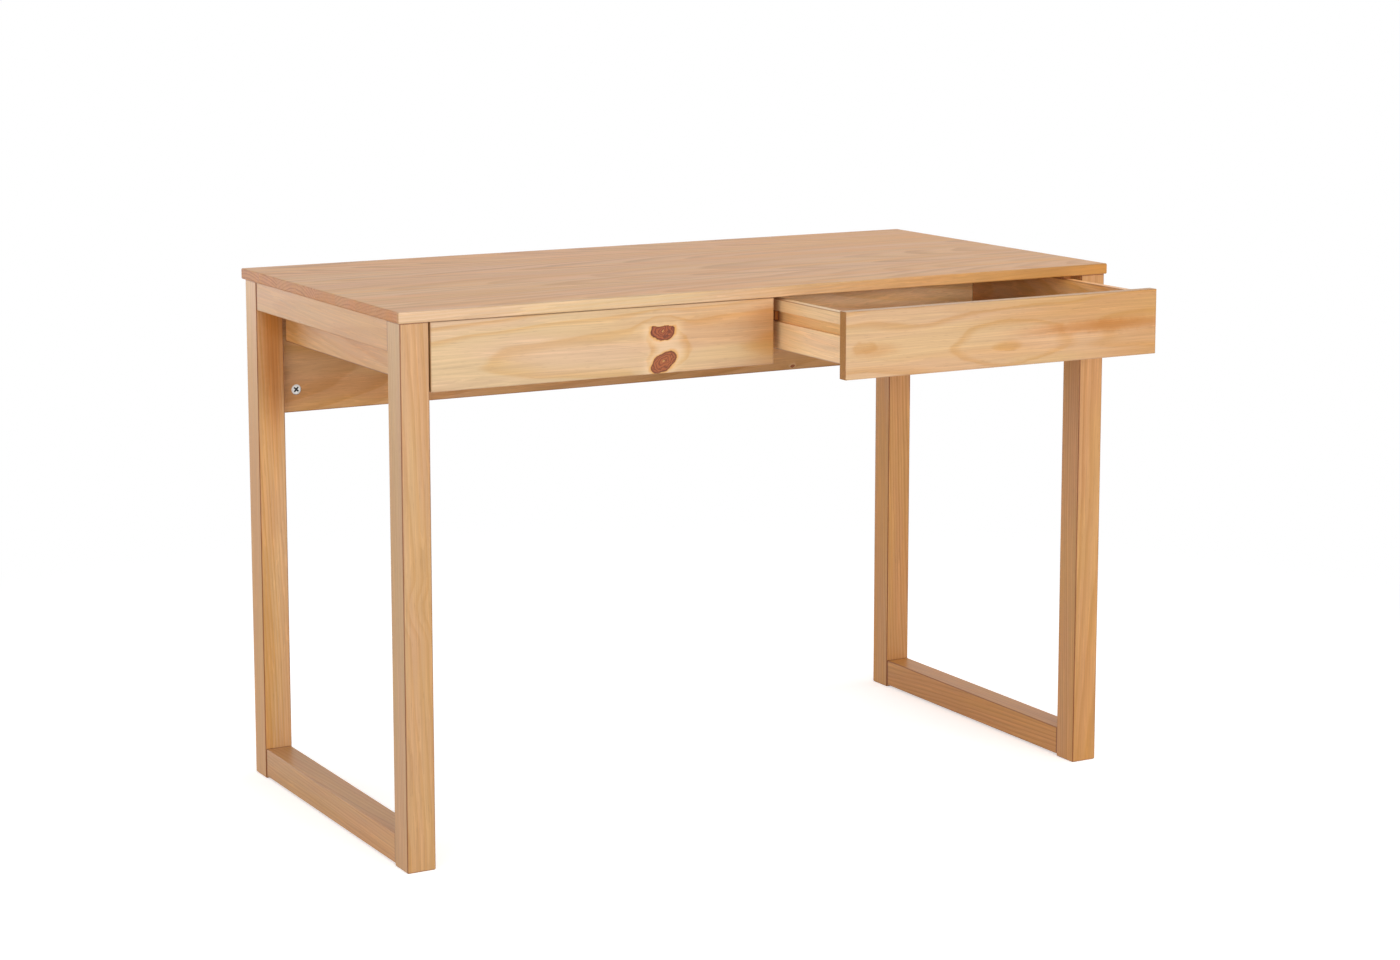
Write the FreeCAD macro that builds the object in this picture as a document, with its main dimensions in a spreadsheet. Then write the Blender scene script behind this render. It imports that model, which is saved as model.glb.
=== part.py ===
import FreeCAD, Part
import math
import os
import re

import Sketcher
from FreeCAD import Placement, Rotation, Vector

# A writing desk in solid pine: an edge-glued top on two leg frames, a deep back panel,
# and two drawers side by side that hang on wooden runners. The right drawer stands open.
# Millimetres. X runs to the sitter's right, Y to the back and Z up.
# The origin is on the floor, under the middle of the desktop.

# Driving dimensions
SIZES = {
    # The whole desk
    "desk_width": 1100,
    "desk_depth": 550,
    "desk_height": 730,
    # Desktop, and how far it stands out over the legs
    "top_thickness": 15,
    "top_side_overhang": 3,
    "top_front_overhang": 3,
    "top_back_overhang": 8,
    "top_edge_round": 2,
    "top_skin": 5,
    # Side frames
    "leg_section": 40,
    "leg_edge_round": 1.5,
    "foot_chamfer": 1.5,
    "rail_height": 40,
    "rail_setback": 1,
    "rail_edge_round": 1.5,
    "bottom_rail_lift": 3,
    # Back panel, set into the depth of the rear legs
    "panel_height": 191,
    "panel_thickness": 15,
    "panel_leg_inset": 16,
    "panel_edge_round": 1,
    # Side boards on the legs, and the centre divider
    "board_height": 85,
    "board_thickness": 15,
    "board_front_inset": 24,
    "board_rear_gap": 9,
    "board_edge_round": 1,
    # Drawer fronts
    "front_height": 89.5,
    "front_thickness": 15,
    "front_top_gap": 0.5,
    "front_leg_gap": 1.5,
    "front_centre_gap": 6,
    "front_proud": 1.5,
    "front_edge_round": 0.8,
    # Drawer boxes
    "box_length": 400,
    "box_side_height": 68,
    "box_side_thickness": 12,
    "box_back_thickness": 12,
    "box_top_drop": 3.5,
    "box_running_gap": 1.5,
    "box_edge_round": 1,
    "bottom_thickness": 4,
    "bottom_lip": 4,
    "bottom_groove_depth": 5,
    "bottom_edge_gap": 0.5,
    "bottom_play": 0.2,
    "drawer_opening": 172.5,
    # Runners, and the grooves that hang on them
    "groove_height": 15,
    "groove_depth": 6,
    "groove_top_drop": 16,
    "runner_top_play": 0.3,
    "runner_low_play": 1.2,
    "runner_depth_play": 0.8,
    "runner_front_gap": 0.5,
    "runner_edge_round": 0.8,
    # Dowels
    "dowel_diameter": 8,
    "dowel_length": 36,
    "dowel_chamfer": 1,
    "dowel_fit": 0.1,
    "frame_dowel_spacing": 20,
    "divider_dowel_length": 28,
    "divider_dowel_inset": 60,
    "drawer_dowel_diameter": 6,
    "drawer_dowel_length": 24,
    "drawer_dowel_seat": 8,
    "drawer_dowel_low_inset": 22,
    "drawer_dowel_top_inset": 8,
    "hole_end_gap": 1,
    # Wood screws with countersunk heads
    "screw_diameter": 4,
    "screw_head_diameter": 8,
    "screw_head_depth": 2.4,
    "screw_tip": 3,
    "screw_slot_width": 1,
    "screw_slot_depth": 1.2,
    "screw_fit": 0.15,
    "board_screw_length": 30,
    "board_screw_inset": 13,
    "board_screw_spacing": 25,
    "rail_screw_inset": 20,
    "divider_screw_length": 40,
    "divider_screw_inset": 20,
    "counterbore_diameter": 10,
    "counterbore_depth": 15,
    "desktop_screw_inset": 80,
    "runner_screw_diameter": 3,
    "runner_screw_head_diameter": 6,
    "runner_screw_head_depth": 1.6,
    "runner_screw_length": 12,
    "runner_screw_inset": 40,
    "runner_screw_stagger": 15,
    # Cam locks in the back panel, and the bolts that they pull
    "cam_diameter": 15,
    "cam_height": 12,
    "cam_fit": 0.1,
    "cam_distance": 24,
    "cam_edge_inset": 32,
    "cam_slot_width": 1.8,
    "cam_slot_length": 8,
    "cam_slot_depth": 2.4,
    "bolt_bore_diameter": 8,
    "bolt_thread_diameter": 6,
    "bolt_thread_length": 11,
    "bolt_collar_diameter": 7.6,
    "bolt_collar_length": 2,
    "bolt_neck_diameter": 4,
    "bolt_head_diameter": 6,
    "bolt_head_length": 3,
    "bolt_fit": 0.3,
}

# Places and sizes that follow from the driving dimensions
PLACES = {
    "top_under": "desk_height - top_thickness",
    "top_bite": "top_thickness - top_skin",
    "leg_outer_x": "desk_width / 2 - top_side_overhang",
    "leg_inner_x": "leg_outer_x - leg_section",
    "leg_middle_x": "leg_outer_x - leg_section / 2",
    "leg_front_y": "top_front_overhang - desk_depth / 2",
    "front_leg_back_y": "leg_front_y + leg_section",
    "leg_back_y": "desk_depth / 2 - top_back_overhang",
    "rear_leg_front_y": "leg_back_y - leg_section",
    "top_rail_z": "top_under - rail_height / 2",
    "bottom_rail_z": "bottom_rail_lift + rail_height / 2",
    "counterbore_z": "top_under - rail_height + counterbore_depth",
    "panel_front_y": "rear_leg_front_y + panel_leg_inset",
    "panel_middle_y": "panel_front_y + panel_thickness / 2",
    "panel_back_y": "panel_front_y + panel_thickness",
    "panel_low_z": "top_under - panel_height",
    "cam_x": "leg_inner_x - cam_distance",
    "rail_inner_x": "leg_inner_x + rail_setback",
    "board_front_y": "leg_front_y + board_front_inset",
    "board_back_y": "rear_leg_front_y - board_rear_gap",
    "board_low_z": "top_under - board_height",
    "side_board_x": "leg_inner_x - board_thickness",
    "divider_x": "board_thickness / 2",
    "front_face_y": "leg_front_y - front_proud",
    "front_back_y": "front_face_y + front_thickness",
    "front_inner_x": "front_centre_gap / 2",
    "front_outer_x": "leg_inner_x - front_leg_gap",
    "front_top_z": "top_under - front_top_gap",
    "box_inner_x": "divider_x + box_running_gap",
    "box_outer_x": "side_board_x - box_running_gap",
    "room_inner_x": "box_inner_x + box_side_thickness",
    "room_outer_x": "box_outer_x - box_side_thickness",
    "box_back_y": "front_back_y + box_length",
    "room_back_y": "box_back_y - box_back_thickness",
    "box_top_z": "front_top_z - box_top_drop",
    "box_low_z": "box_top_z - box_side_height",
    "bottom_low_z": "box_low_z + bottom_lip",
    "bottom_groove_top_z": "bottom_low_z + bottom_thickness + bottom_play",
    "bottom_reach": "bottom_groove_depth - bottom_edge_gap",
    "groove_top_z": "box_top_z - groove_top_drop",
    "groove_low_z": "groove_top_z - groove_height",
    "runner_top_z": "groove_top_z - runner_top_play",
    "runner_low_z": "groove_low_z + runner_low_play",
    "runner_middle_z": "(runner_top_z + runner_low_z) / 2",
    "runner_width": "box_running_gap + groove_depth - runner_depth_play",
    "runner_front_y": "front_back_y + runner_front_gap",
    "runner_back_y": "box_back_y",
    "dowel_seat": "dowel_length / 2",
    "dowel_bore": "dowel_diameter + 2 * dowel_fit",
    "drawer_dowel_bore": "drawer_dowel_diameter + 2 * dowel_fit",
    "screw_bore": "screw_diameter + 2 * screw_fit",
    "runner_screw_bore": "runner_screw_diameter + 2 * screw_fit",
}

SIDES = ("left", "right")

# Rows of places that holes and fasteners share
RAIL_DOWEL_Z = {
    rail: [f"{rail}_z - frame_dowel_spacing / 2", f"{rail}_z + frame_dowel_spacing / 2"]
    for rail in ("top_rail", "bottom_rail")
}
DESKTOP_SCREW_Y = [
    "front_leg_back_y + desktop_screw_inset",
    "rear_leg_front_y - desktop_screw_inset",
]
BOARD_SCREW_Y = "(board_front_y + front_leg_back_y) / 2"
BOARD_SCREWS = {
    "front_leg": [
        (BOARD_SCREW_Y, "board_low_z + board_screw_inset"),
        (BOARD_SCREW_Y, "board_low_z + board_screw_inset + board_screw_spacing"),
    ],
    "top_rail": [
        ("board_back_y - rail_screw_inset - board_screw_spacing", "top_rail_z"),
        ("board_back_y - rail_screw_inset", "top_rail_z"),
    ],
}
CAM_Z = ["panel_low_z + cam_edge_inset", "top_under - cam_edge_inset"]
PANEL_DOWEL_Z = "panel_low_z + panel_height / 2"
DIVIDER_DOWEL_Y = [
    "board_front_y + divider_dowel_inset",
    "(board_front_y + panel_front_y) / 2",
    "panel_front_y - divider_dowel_inset",
]
DIVIDER_SCREW_Z = ["board_low_z + divider_screw_inset", "top_under - divider_screw_inset"]
DRAWER_DOWEL_Z = ["box_low_z + drawer_dowel_low_inset", "box_top_z - drawer_dowel_top_inset"]
DRAWER_BACK_Y = "box_back_y - box_back_thickness / 2"

# For each working direction: the sketch plane that faces along it, the sign of the plane's normal
# on that axis, and whether a pocket has to be reversed to run that way
DIRECTIONS = {
    "+X": ("YZ_Plane", "", True),
    "-X": ("YZ_Plane", "", False),
    "+Y": ("XZ_Plane", "-", False),
    "-Y": ("XZ_Plane", "-", True),
    "+Z": ("XY_Plane", "", True),
    "-Z": ("XY_Plane", "", False),
}
UNIT = {"X": Vector(1, 0, 0), "Y": Vector(0, 1, 0), "Z": Vector(0, 0, 1)}

# The first size of a sketched line or circle, before its formulas are solved
SEED = 1.0
# How near to a plane counts as on it, and how near to an axis as along it
TOUCH = 0.01

document = FreeCAD.newDocument("WritingDesk")
low_corner = {}
nodes = []


def fill_sheet():
    """Put the driving dimensions into a spreadsheet, one alias for each."""
    sheet = document.addObject("Spreadsheet::Sheet", "Sizes")
    for row, (name, size) in enumerate(SIZES.items(), start=1):
        sheet.set(f"A{row}", name)
        sheet.set(f"B{row}", str(size))
        sheet.setAlias(f"B{row}", name)
    document.recompute()


def formula(text):
    """Spell out a formula of named sizes and places in the sheet's cells."""

    def cell(match):
        word = match.group()
        if word in SIZES:
            return "Sizes." + word
        return "(" + formula(PLACES[word]) + ")"

    return re.sub("[a-z_]+", cell, text)


def bind(item, property_name, text):
    """Tie a property to a formula."""
    item.setExpression(property_name, formula(text))


def place(item, corner):
    """Tie the position of an object to three formulas."""
    for axis, text in zip("xyz", corner):
        bind(item, f"Placement.Base.{axis}", text)


def mirrored(side, text):
    """A place on the right side, or its mirror image on the left."""
    return text if side == "right" else f"-({text})"


def span(side, near, far):
    """The low and high X of what lies between two places, on the right or mirrored."""
    if side == "right":
        return near, far
    return f"-({far})", f"-({near})"


def outward(side):
    """The direction from the middle of the desk towards one side."""
    return "+X" if side == "right" else "-X"


def inward(side):
    """The direction from one side towards the middle of the desk."""
    return "-X" if side == "right" else "+X"


def heading(toward):
    """The vector of a working direction."""
    vector = UNIT[toward[1]]
    return vector if toward[0] == "+" else vector.negative()


def axis_number(toward):
    """The axis of a working direction, counted from X."""
    return "XYZ".index(toward[1])


def new_sketch(body, toward, face):
    """A sketch on the face of a body that is worked in the given direction."""
    role, sign, _ = DIRECTIONS[toward]
    sketch = body.newObject("Sketcher::SketchObject", "Sketch")
    planes = body.Origin.OriginFeatures
    sketch.AttachmentSupport = [(next(plane for plane in planes if plane.Role == role), "")]
    sketch.MapMode = "FlatFace"
    offset = f"({face}) - ({low_corner[body.Name][axis_number(toward)]})"
    bind(sketch, "AttachmentOffset.Base.z", f"{sign}({offset})")
    return sketch


def local(body, toward, spot):
    """A point of the desk in the two axes of a sketch on that body."""
    across = [axis for axis in range(3) if axis != axis_number(toward)]
    corner = low_corner[body.Name]
    return [f"({text}) - ({corner[axis]})" for axis, text in zip(across, spot)]


def fix_point(sketch, geometry, point, spot):
    """Tie a point of a sketch to two formulas."""
    for kind, text in zip(("DistanceX", "DistanceY"), spot):
        index = sketch.addConstraint(Sketcher.Constraint(kind, -1, 1, geometry, point, SEED))
        bind(sketch, f"Constraints[{index}]", text)


def polygon(sketch, corners):
    """A closed outline through corners that are each tied to two formulas."""
    count = len(corners)
    turns = [2 * math.pi * index / count for index in range(count)]
    starts = [Vector(math.cos(turn), math.sin(turn), 0) * SEED for turn in turns]
    for index in range(count):
        line = Part.LineSegment(starts[index], starts[(index + 1) % count])
        sketch.addGeometry(line, False)
    for index, corner in enumerate(corners):
        following = (index + 1) % count
        sketch.addConstraint(Sketcher.Constraint("Coincident", index, 2, following, 1))
        fix_point(sketch, index, 1, corner)


def rectangle(sketch, low, high):
    """A rectangle between two corners."""
    polygon(sketch, [low, (high[0], low[1]), high, (low[0], high[1])])


def block(label, low, high, slid="0"):
    """A rectangular blank between two corners of the desk, slid along Y from there."""
    body = document.addObject("PartDesign::Body", label)
    body.Label = label
    low_corner[body.Name] = low
    outline = new_sketch(body, "+Z", low[2])
    rectangle(outline, local(body, "+Z", low[:2]), local(body, "+Z", high[:2]))
    blank = body.newObject("PartDesign::Pad", "Blank")
    blank.Profile = outline
    bind(blank, "Length", f"({high[2]}) - ({low[2]})")
    place(body, (low[0], f"({low[1]}) + ({slid})", low[2]))
    nodes.append(body)
    return body


def ease(body, radius, axes):
    """Round the straight edges that run along the given axes."""
    document.recompute()
    base = body.Tip
    names = []
    for index, edge in enumerate(base.Shape.Edges, start=1):
        direction = edge.tangentAt(edge.FirstParameter)
        if any(direction.cross(UNIT[axis]).Length < TOUCH for axis in axes):
            names.append(f"Edge{index}")
    rounded = body.newObject("PartDesign::Fillet", "EasedEdges")
    rounded.Base = (base, names)
    bind(rounded, "Radius", radius)


def chamfer_foot(leg):
    """Break the edges of a leg's foot, so that it doesn't splinter on the floor."""
    document.recompute()
    base = leg.Tip
    edges = enumerate(base.Shape.Edges, start=1)
    names = [f"Edge{index}" for index, edge in edges if edge.BoundBox.ZMax < TOUCH]
    foot = leg.newObject("PartDesign::Chamfer", "Foot")
    foot.Base = (base, names)
    bind(foot, "Size", "foot_chamfer")


def cut(body, sketch, toward, depth):
    """Sink a sketched outline into a body."""
    pocket = body.newObject("PartDesign::Pocket", "Cut")
    pocket.Profile = sketch
    _, _, pocket.Reversed = DIRECTIONS[toward]
    bind(pocket, "Length", depth)


def drill(body, toward, face, spots, diameter, depth):
    """Flat-bottomed holes from a face, at spots in the two other axes."""
    sketch = new_sketch(body, toward, face)
    for spot in spots:
        circle = sketch.addGeometry(Part.Circle(Vector(), UNIT["Z"], SEED), False)
        index = sketch.addConstraint(Sketcher.Constraint("Diameter", circle, SEED))
        bind(sketch, f"Constraints[{index}]", diameter)
        fix_point(sketch, circle, 3, local(body, toward, spot))
    cut(body, sketch, toward, depth)


def groove(body, toward, face, low, high, depth):
    """A rectangular groove from a face, between two corners in the two other axes."""
    sketch = new_sketch(body, toward, face)
    rectangle(sketch, local(body, toward, low), local(body, toward, high))
    cut(body, sketch, toward, depth)


def countersink(body, toward, face, spots, screw):
    """Conical seats for the heads of one kind of screw."""
    corner = low_corner[body.Name]
    for spot in spots:
        point = list(spot)
        point.insert(axis_number(toward), face)
        seat = body.newObject("PartDesign::SubtractiveCone", "Seat")
        bind(seat, "Radius1", f"{screw}_head_diameter / 2 + screw_fit")
        bind(seat, "Radius2", f"{screw}_diameter / 2 + screw_fit")
        bind(seat, "Height", f"{screw}_head_depth")
        seat.Placement = Placement(Vector(), Rotation(UNIT["Z"], heading(toward)))
        place(seat, [f"({text}) - ({low})" for text, low in zip(point, corner)])


def screw_holes(body, toward, face, spots, screw, depth):
    """Clearance holes with countersunk mouths."""
    drill(body, toward, face, spots, f"{screw}_bore", depth)
    countersink(body, toward, face, spots, screw)


def turned(label, profile):
    """A round pattern piece: a profile of radii and heights, spun about its own Z axis."""
    body = document.addObject("PartDesign::Body", label)
    low_corner[body.Name] = ("0", "0", "0")
    sketch = new_sketch(body, "+Y", "0")
    polygon(sketch, profile)
    spin = body.newObject("PartDesign::Revolution", "Spin")
    spin.Profile = sketch
    spin.ReferenceAxis = (sketch, ["V_Axis"])
    spin.Angle = 360
    return body


def cross_slot(body, width, length, depth):
    """A cross recess in the end of a round piece."""
    for along, across in ((length, width), (width, length)):
        low = (f"-({along}) / 2", f"-({across}) / 2")
        high = (f"({along}) / 2", f"({across}) / 2")
        groove(body, "+Z", "0", low, high, depth)


def dowel(label, diameter, length):
    """A beech dowel with both ends chamfered."""
    rim = f"{diameter} / 2"
    tip = f"{diameter} / 2 - dowel_chamfer"
    shoulder = f"{length} - dowel_chamfer"
    return turned(label, [
        ("0", "0"), (tip, "0"), (rim, "dowel_chamfer"),
        (rim, shoulder), (tip, length), ("0", length),
    ])


def wood_screw(label, screw, length):
    """A countersunk screw that starts at its head and points along Z."""
    head = f"{screw}_head_diameter / 2"
    shank = f"{screw}_diameter / 2"
    body = turned(label, [
        ("0", "0"), (head, "0"), (shank, f"{screw}_head_depth"),
        (shank, f"{length} - screw_tip"), ("0", length),
    ])
    cross_slot(body, "screw_slot_width", f"{screw}_diameter", "screw_slot_depth")
    return body


def cam_lock():
    """A zinc cam lock: a drum with a cross recess in its face and a bore for the bolt's head."""
    rim = "cam_diameter / 2 - cam_fit"
    body = turned("CamLock", [("0", "0"), (rim, "0"), (rim, "cam_height"), ("0", "cam_height")])
    cross_slot(body, "cam_slot_width", "cam_slot_length", "cam_slot_depth")
    bore = "bolt_head_diameter + 2 * bolt_fit"
    drill(body, "+X", f"-({rim})", [("0", "panel_thickness / 2")], bore, "cam_diameter")
    return body


def cam_bolt():
    """A connecting bolt: thread, collar, neck and the head that the cam pulls."""
    thread = "bolt_thread_diameter / 2"
    collar = "bolt_collar_diameter / 2"
    neck = "bolt_neck_diameter / 2"
    head = "bolt_head_diameter / 2"
    collar_end = "bolt_thread_length + bolt_collar_length"
    head_end = "bolt_thread_length + cam_distance + bolt_head_length / 2"
    head_start = f"{head_end} - bolt_head_length"
    return turned("CamBolt", [
        ("0", "0"), (thread, "0"), (thread, "bolt_thread_length"),
        (collar, "bolt_thread_length"), (collar, collar_end), (neck, collar_end),
        (neck, head_start), (head, head_start), (head, head_end), ("0", head_end),
    ])


def fasteners(label, pattern, spots):
    """A group of like fasteners, each copied to a point and turned to a direction."""
    copies = []
    for toward, point in spots:
        copy = document.addObject("App::Link", "Copy")
        copy.LinkedObject = pattern
        copy.Placement = Placement(Vector(), Rotation(UNIT["Z"], heading(toward)))
        place(copy, point)
        copies.append(copy)
    group = document.addObject("Part::Compound", label)
    group.Label = label
    group.Links = copies
    nodes.append(group)


def make_desktop():
    """The top, drilled from below for the screws of the frames and the divider's dowels."""
    corner = ("-desk_width / 2", "-desk_depth / 2", "top_under")
    top = block("desktop", corner, ("desk_width / 2", "desk_depth / 2", "desk_height"))
    ease(top, "top_edge_round", "XYZ")
    blind = "top_bite + hole_end_gap"
    screws = [(mirrored(side, "leg_middle_x"), y) for side in SIDES for y in DESKTOP_SCREW_Y]
    drill(top, "+Z", "top_under", screws, "screw_bore", blind)
    drill(top, "+Z", "top_under", [("0", y) for y in DIVIDER_DOWEL_Y], "dowel_bore", blind)


def make_leg(side, end):
    """A square leg, drilled for its rails and for the side board or the back panel."""
    low_x, high_x = span(side, "leg_inner_x", "leg_outer_x")
    low_y, high_y, rail_face, toward = {
        "front": ("leg_front_y", "front_leg_back_y", "front_leg_back_y", "-Y"),
        "rear": ("rear_leg_front_y", "leg_back_y", "rear_leg_front_y", "+Y"),
    }[end]
    leg = block(f"{side}_{end}_leg", (low_x, low_y, "0"), (high_x, high_y, "top_under"))
    ease(leg, "leg_edge_round", "Z")
    chamfer_foot(leg)
    middle = mirrored(side, "leg_middle_x")
    rail_spots = [(middle, z) for rail in RAIL_DOWEL_Z.values() for z in rail]
    drill(leg, toward, rail_face, rail_spots, "dowel_bore", "dowel_seat + hole_end_gap")
    inner = mirrored(side, "leg_inner_x")
    if end == "front":
        bite = "board_screw_length - board_thickness + hole_end_gap"
        drill(leg, outward(side), inner, BOARD_SCREWS["front_leg"], "screw_bore", bite)
    else:
        bolts = [("panel_middle_y", z) for z in CAM_Z]
        thread = "bolt_thread_diameter + 2 * screw_fit"
        drill(leg, outward(side), inner, bolts, thread, "bolt_thread_length + hole_end_gap")
        dowels = [("panel_middle_y", PANEL_DOWEL_Z)]
        drill(leg, outward(side), inner, dowels, "dowel_bore", "dowel_seat + hole_end_gap")


def make_rail(side, name):
    """A rail between two legs. The top rail holds the desktop and the side board by screws."""
    low_x, high_x = span(side, "rail_inner_x", "leg_outer_x - rail_setback")
    low_z = f"{name}_z - rail_height / 2"
    high_z = f"{name}_z + rail_height / 2"
    low = (low_x, "front_leg_back_y", low_z)
    rail = block(f"{side}_{name}", low, (high_x, "rear_leg_front_y", high_z))
    ease(rail, "rail_edge_round", "Y")
    middle = mirrored(side, "leg_middle_x")
    spots = [(middle, z) for z in RAIL_DOWEL_Z[name]]
    for toward, face in (("+Y", "front_leg_back_y"), ("-Y", "rear_leg_front_y")):
        drill(rail, toward, face, spots, "dowel_bore", "dowel_seat + hole_end_gap")
    if name == "top_rail":
        screws = [(middle, y) for y in DESKTOP_SCREW_Y]
        drill(rail, "+Z", low_z, screws, "counterbore_diameter", "counterbore_depth")
        screw_holes(rail, "+Z", "counterbore_z", screws, "screw", "top_under - counterbore_z")
        bite = "board_screw_length - board_thickness - rail_setback + hole_end_gap"
        inner = mirrored(side, "rail_inner_x")
        drill(rail, outward(side), inner, BOARD_SCREWS["top_rail"], "screw_bore", bite)


def make_back_panel():
    """The deep board between the rear legs, bored for its cam locks."""
    low = ("-leg_inner_x", "panel_front_y", "panel_low_z")
    panel = block("back_panel", low, ("leg_inner_x", "panel_back_y", "top_under"))
    ease(panel, "panel_edge_round", "X")
    cams = [(mirrored(side, "cam_x"), z) for side in SIDES for z in CAM_Z]
    drill(panel, "+Y", "panel_front_y", cams, "cam_diameter", "cam_height")
    for side in SIDES:
        end = mirrored(side, "leg_inner_x")
        bolts = [("panel_middle_y", z) for z in CAM_Z]
        drill(panel, inward(side), end, bolts, "bolt_bore_diameter", "cam_distance")
        dowels = [("panel_middle_y", PANEL_DOWEL_Z)]
        drill(panel, inward(side), end, dowels, "dowel_bore", "dowel_seat + hole_end_gap")
    screws = [("0", z) for z in DIVIDER_SCREW_Z]
    screw_holes(panel, "-Y", "panel_back_y", screws, "screw", "panel_thickness")


def runner_screw_y(staggered):
    """Where the three screws of a runner stand along it."""
    spots = [
        "runner_front_y + runner_screw_inset",
        "(runner_front_y + runner_back_y) / 2",
        "runner_back_y - runner_screw_inset",
    ]
    return [f"{y} - runner_screw_stagger" for y in spots] if staggered else spots


def drill_runner_pilots(board, toward, face, staggered):
    """Pilot holes in a board for the screws of one runner."""
    spots = [(y, "runner_middle_z") for y in runner_screw_y(staggered)]
    bite = "runner_screw_length - runner_width + hole_end_gap"
    drill(board, toward, face, spots, "runner_screw_bore", bite)


def make_side_board(side):
    """The board inside the front leg and the top rail that carries a drawer's outer runner."""
    low_x, high_x = span(side, "side_board_x", "leg_inner_x")
    low = (low_x, "board_front_y", "board_low_z")
    board = block(f"{side}_side_board", low, (high_x, "board_back_y", "top_under"))
    ease(board, "board_edge_round", "Y")
    face = mirrored(side, "side_board_x")
    spots = [spot for row in BOARD_SCREWS.values() for spot in row]
    screw_holes(board, outward(side), face, spots, "screw", "board_thickness")
    drill_runner_pilots(board, outward(side), face, False)


def make_divider():
    """The board between the two drawers, with a runner on each face."""
    low = ("-divider_x", "board_front_y", "board_low_z")
    divider = block("centre_divider", low, ("divider_x", "panel_front_y", "top_under"))
    ease(divider, "board_edge_round", "Y")
    dowels = [("0", y) for y in DIVIDER_DOWEL_Y]
    depth = "divider_dowel_length - top_bite + hole_end_gap"
    drill(divider, "-Z", "top_under", dowels, "dowel_bore", depth)
    screws = [("0", z) for z in DIVIDER_SCREW_Z]
    bite = "divider_screw_length - panel_thickness + hole_end_gap"
    drill(divider, "-Y", "panel_front_y", screws, "screw_bore", bite)
    for side in SIDES:
        face = mirrored(side, "divider_x")
        drill_runner_pilots(divider, inward(side), face, side == "right")


def runner_seats(side):
    """For a drawer's outer and inner runner: seat, free face, screw direction, stagger."""
    return {
        "outer": ("side_board_x", "side_board_x - runner_width", outward(side), False),
        "inner": ("divider_x", "divider_x + runner_width", inward(side), side == "right"),
    }


def make_runners(side):
    """The two battens that carry a drawer in the grooves of its sides."""
    for name, (seat, free, toward, staggered) in runner_seats(side).items():
        near, far = (free, seat) if name == "outer" else (seat, free)
        low_x, high_x = span(side, near, far)
        low = (low_x, "runner_front_y", "runner_low_z")
        high = (high_x, "runner_back_y", "runner_top_z")
        runner = block(f"{side}_drawer_{name}_runner", low, high)
        ease(runner, "runner_edge_round", "Y")
        spots = [(y, "runner_middle_z") for y in runner_screw_y(staggered)]
        face = mirrored(side, free)
        screw_holes(runner, toward, face, spots, "runner_screw", "runner_width")


def drawer_walls(side):
    """For a drawer's two sides: name, outer face, inner face, inward direction."""
    other = "left" if side == "right" else "right"
    return [
        (side, "box_outer_x", "room_outer_x", inward(side)),
        (other, "box_inner_x", "room_inner_x", outward(side)),
    ]


def make_drawer_front(side, slid):
    """The front, which hangs below the box as a finger grip."""
    low_x, high_x = span(side, "front_inner_x", "front_outer_x")
    low = (low_x, "front_face_y", "front_top_z - front_height")
    front = block(f"{side}_drawer_front", low, (high_x, "front_back_y", "front_top_z"), slid)
    ease(front, "front_edge_round", "XYZ")
    left, right = span(side, "room_inner_x - bottom_groove_depth", "room_outer_x + bottom_groove_depth")
    low_spot = (left, "bottom_low_z")
    high_spot = (right, "bottom_groove_top_z")
    groove(front, "-Y", "front_back_y", low_spot, high_spot, "bottom_groove_depth")
    walls = [mirrored(side, f"({outer} + {inner}) / 2") for _, outer, inner, _ in drawer_walls(side)]
    spots = [(x, z) for x in walls for z in DRAWER_DOWEL_Z]
    depth = "drawer_dowel_seat + hole_end_gap"
    drill(front, "-Y", "front_back_y", spots, "drawer_dowel_bore", depth)


def make_drawer_side(side, slid, wall):
    """A side, with the runner's groove outside and the bottom's groove inside."""
    name, outer, inner, toward = wall
    near, far = (inner, outer) if name == side else (outer, inner)
    low_x, high_x = span(side, near, far)
    low = (low_x, "front_back_y", "box_low_z")
    board = block(f"{side}_drawer_{name}_side", low, (high_x, "box_back_y", "box_top_z"), slid)
    ease(board, "box_edge_round", "Y")
    outer_face = mirrored(side, outer)
    inner_face = mirrored(side, inner)
    away = "-X" if toward == "+X" else "+X"
    low_spot = ("front_back_y", "groove_low_z")
    groove(board, toward, outer_face, low_spot, ("box_back_y", "groove_top_z"), "groove_depth")
    low_spot = ("front_back_y", "bottom_low_z")
    high_spot = ("box_back_y", "bottom_groove_top_z")
    groove(board, away, inner_face, low_spot, high_spot, "bottom_groove_depth")
    middle = mirrored(side, f"({outer} + {inner}) / 2")
    depth = "drawer_dowel_length - drawer_dowel_seat + hole_end_gap"
    spots = [(middle, z) for z in DRAWER_DOWEL_Z]
    drill(board, "+Y", "front_back_y", spots, "drawer_dowel_bore", depth)
    spots = [(DRAWER_BACK_Y, z) for z in DRAWER_DOWEL_Z]
    drill(board, away, inner_face, spots, "drawer_dowel_bore", "drawer_dowel_seat + hole_end_gap")


def make_drawer_back(side, slid):
    """The back, between the two sides."""
    low_x, high_x = span(side, "room_inner_x", "room_outer_x")
    low = (low_x, "room_back_y", "box_low_z")
    back = block(f"{side}_drawer_back", low, (high_x, "box_back_y", "box_top_z"), slid)
    ease(back, "box_edge_round", "X")
    low_spot = (low_x, "bottom_low_z")
    high_spot = (high_x, "bottom_groove_top_z")
    groove(back, "+Y", "room_back_y", low_spot, high_spot, "bottom_groove_depth")
    depth = "drawer_dowel_length - drawer_dowel_seat + hole_end_gap"
    spots = [(DRAWER_BACK_Y, z) for z in DRAWER_DOWEL_Z]
    for _, _, inner, toward in drawer_walls(side):
        drill(back, toward, mirrored(side, inner), spots, "drawer_dowel_bore", depth)


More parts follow.
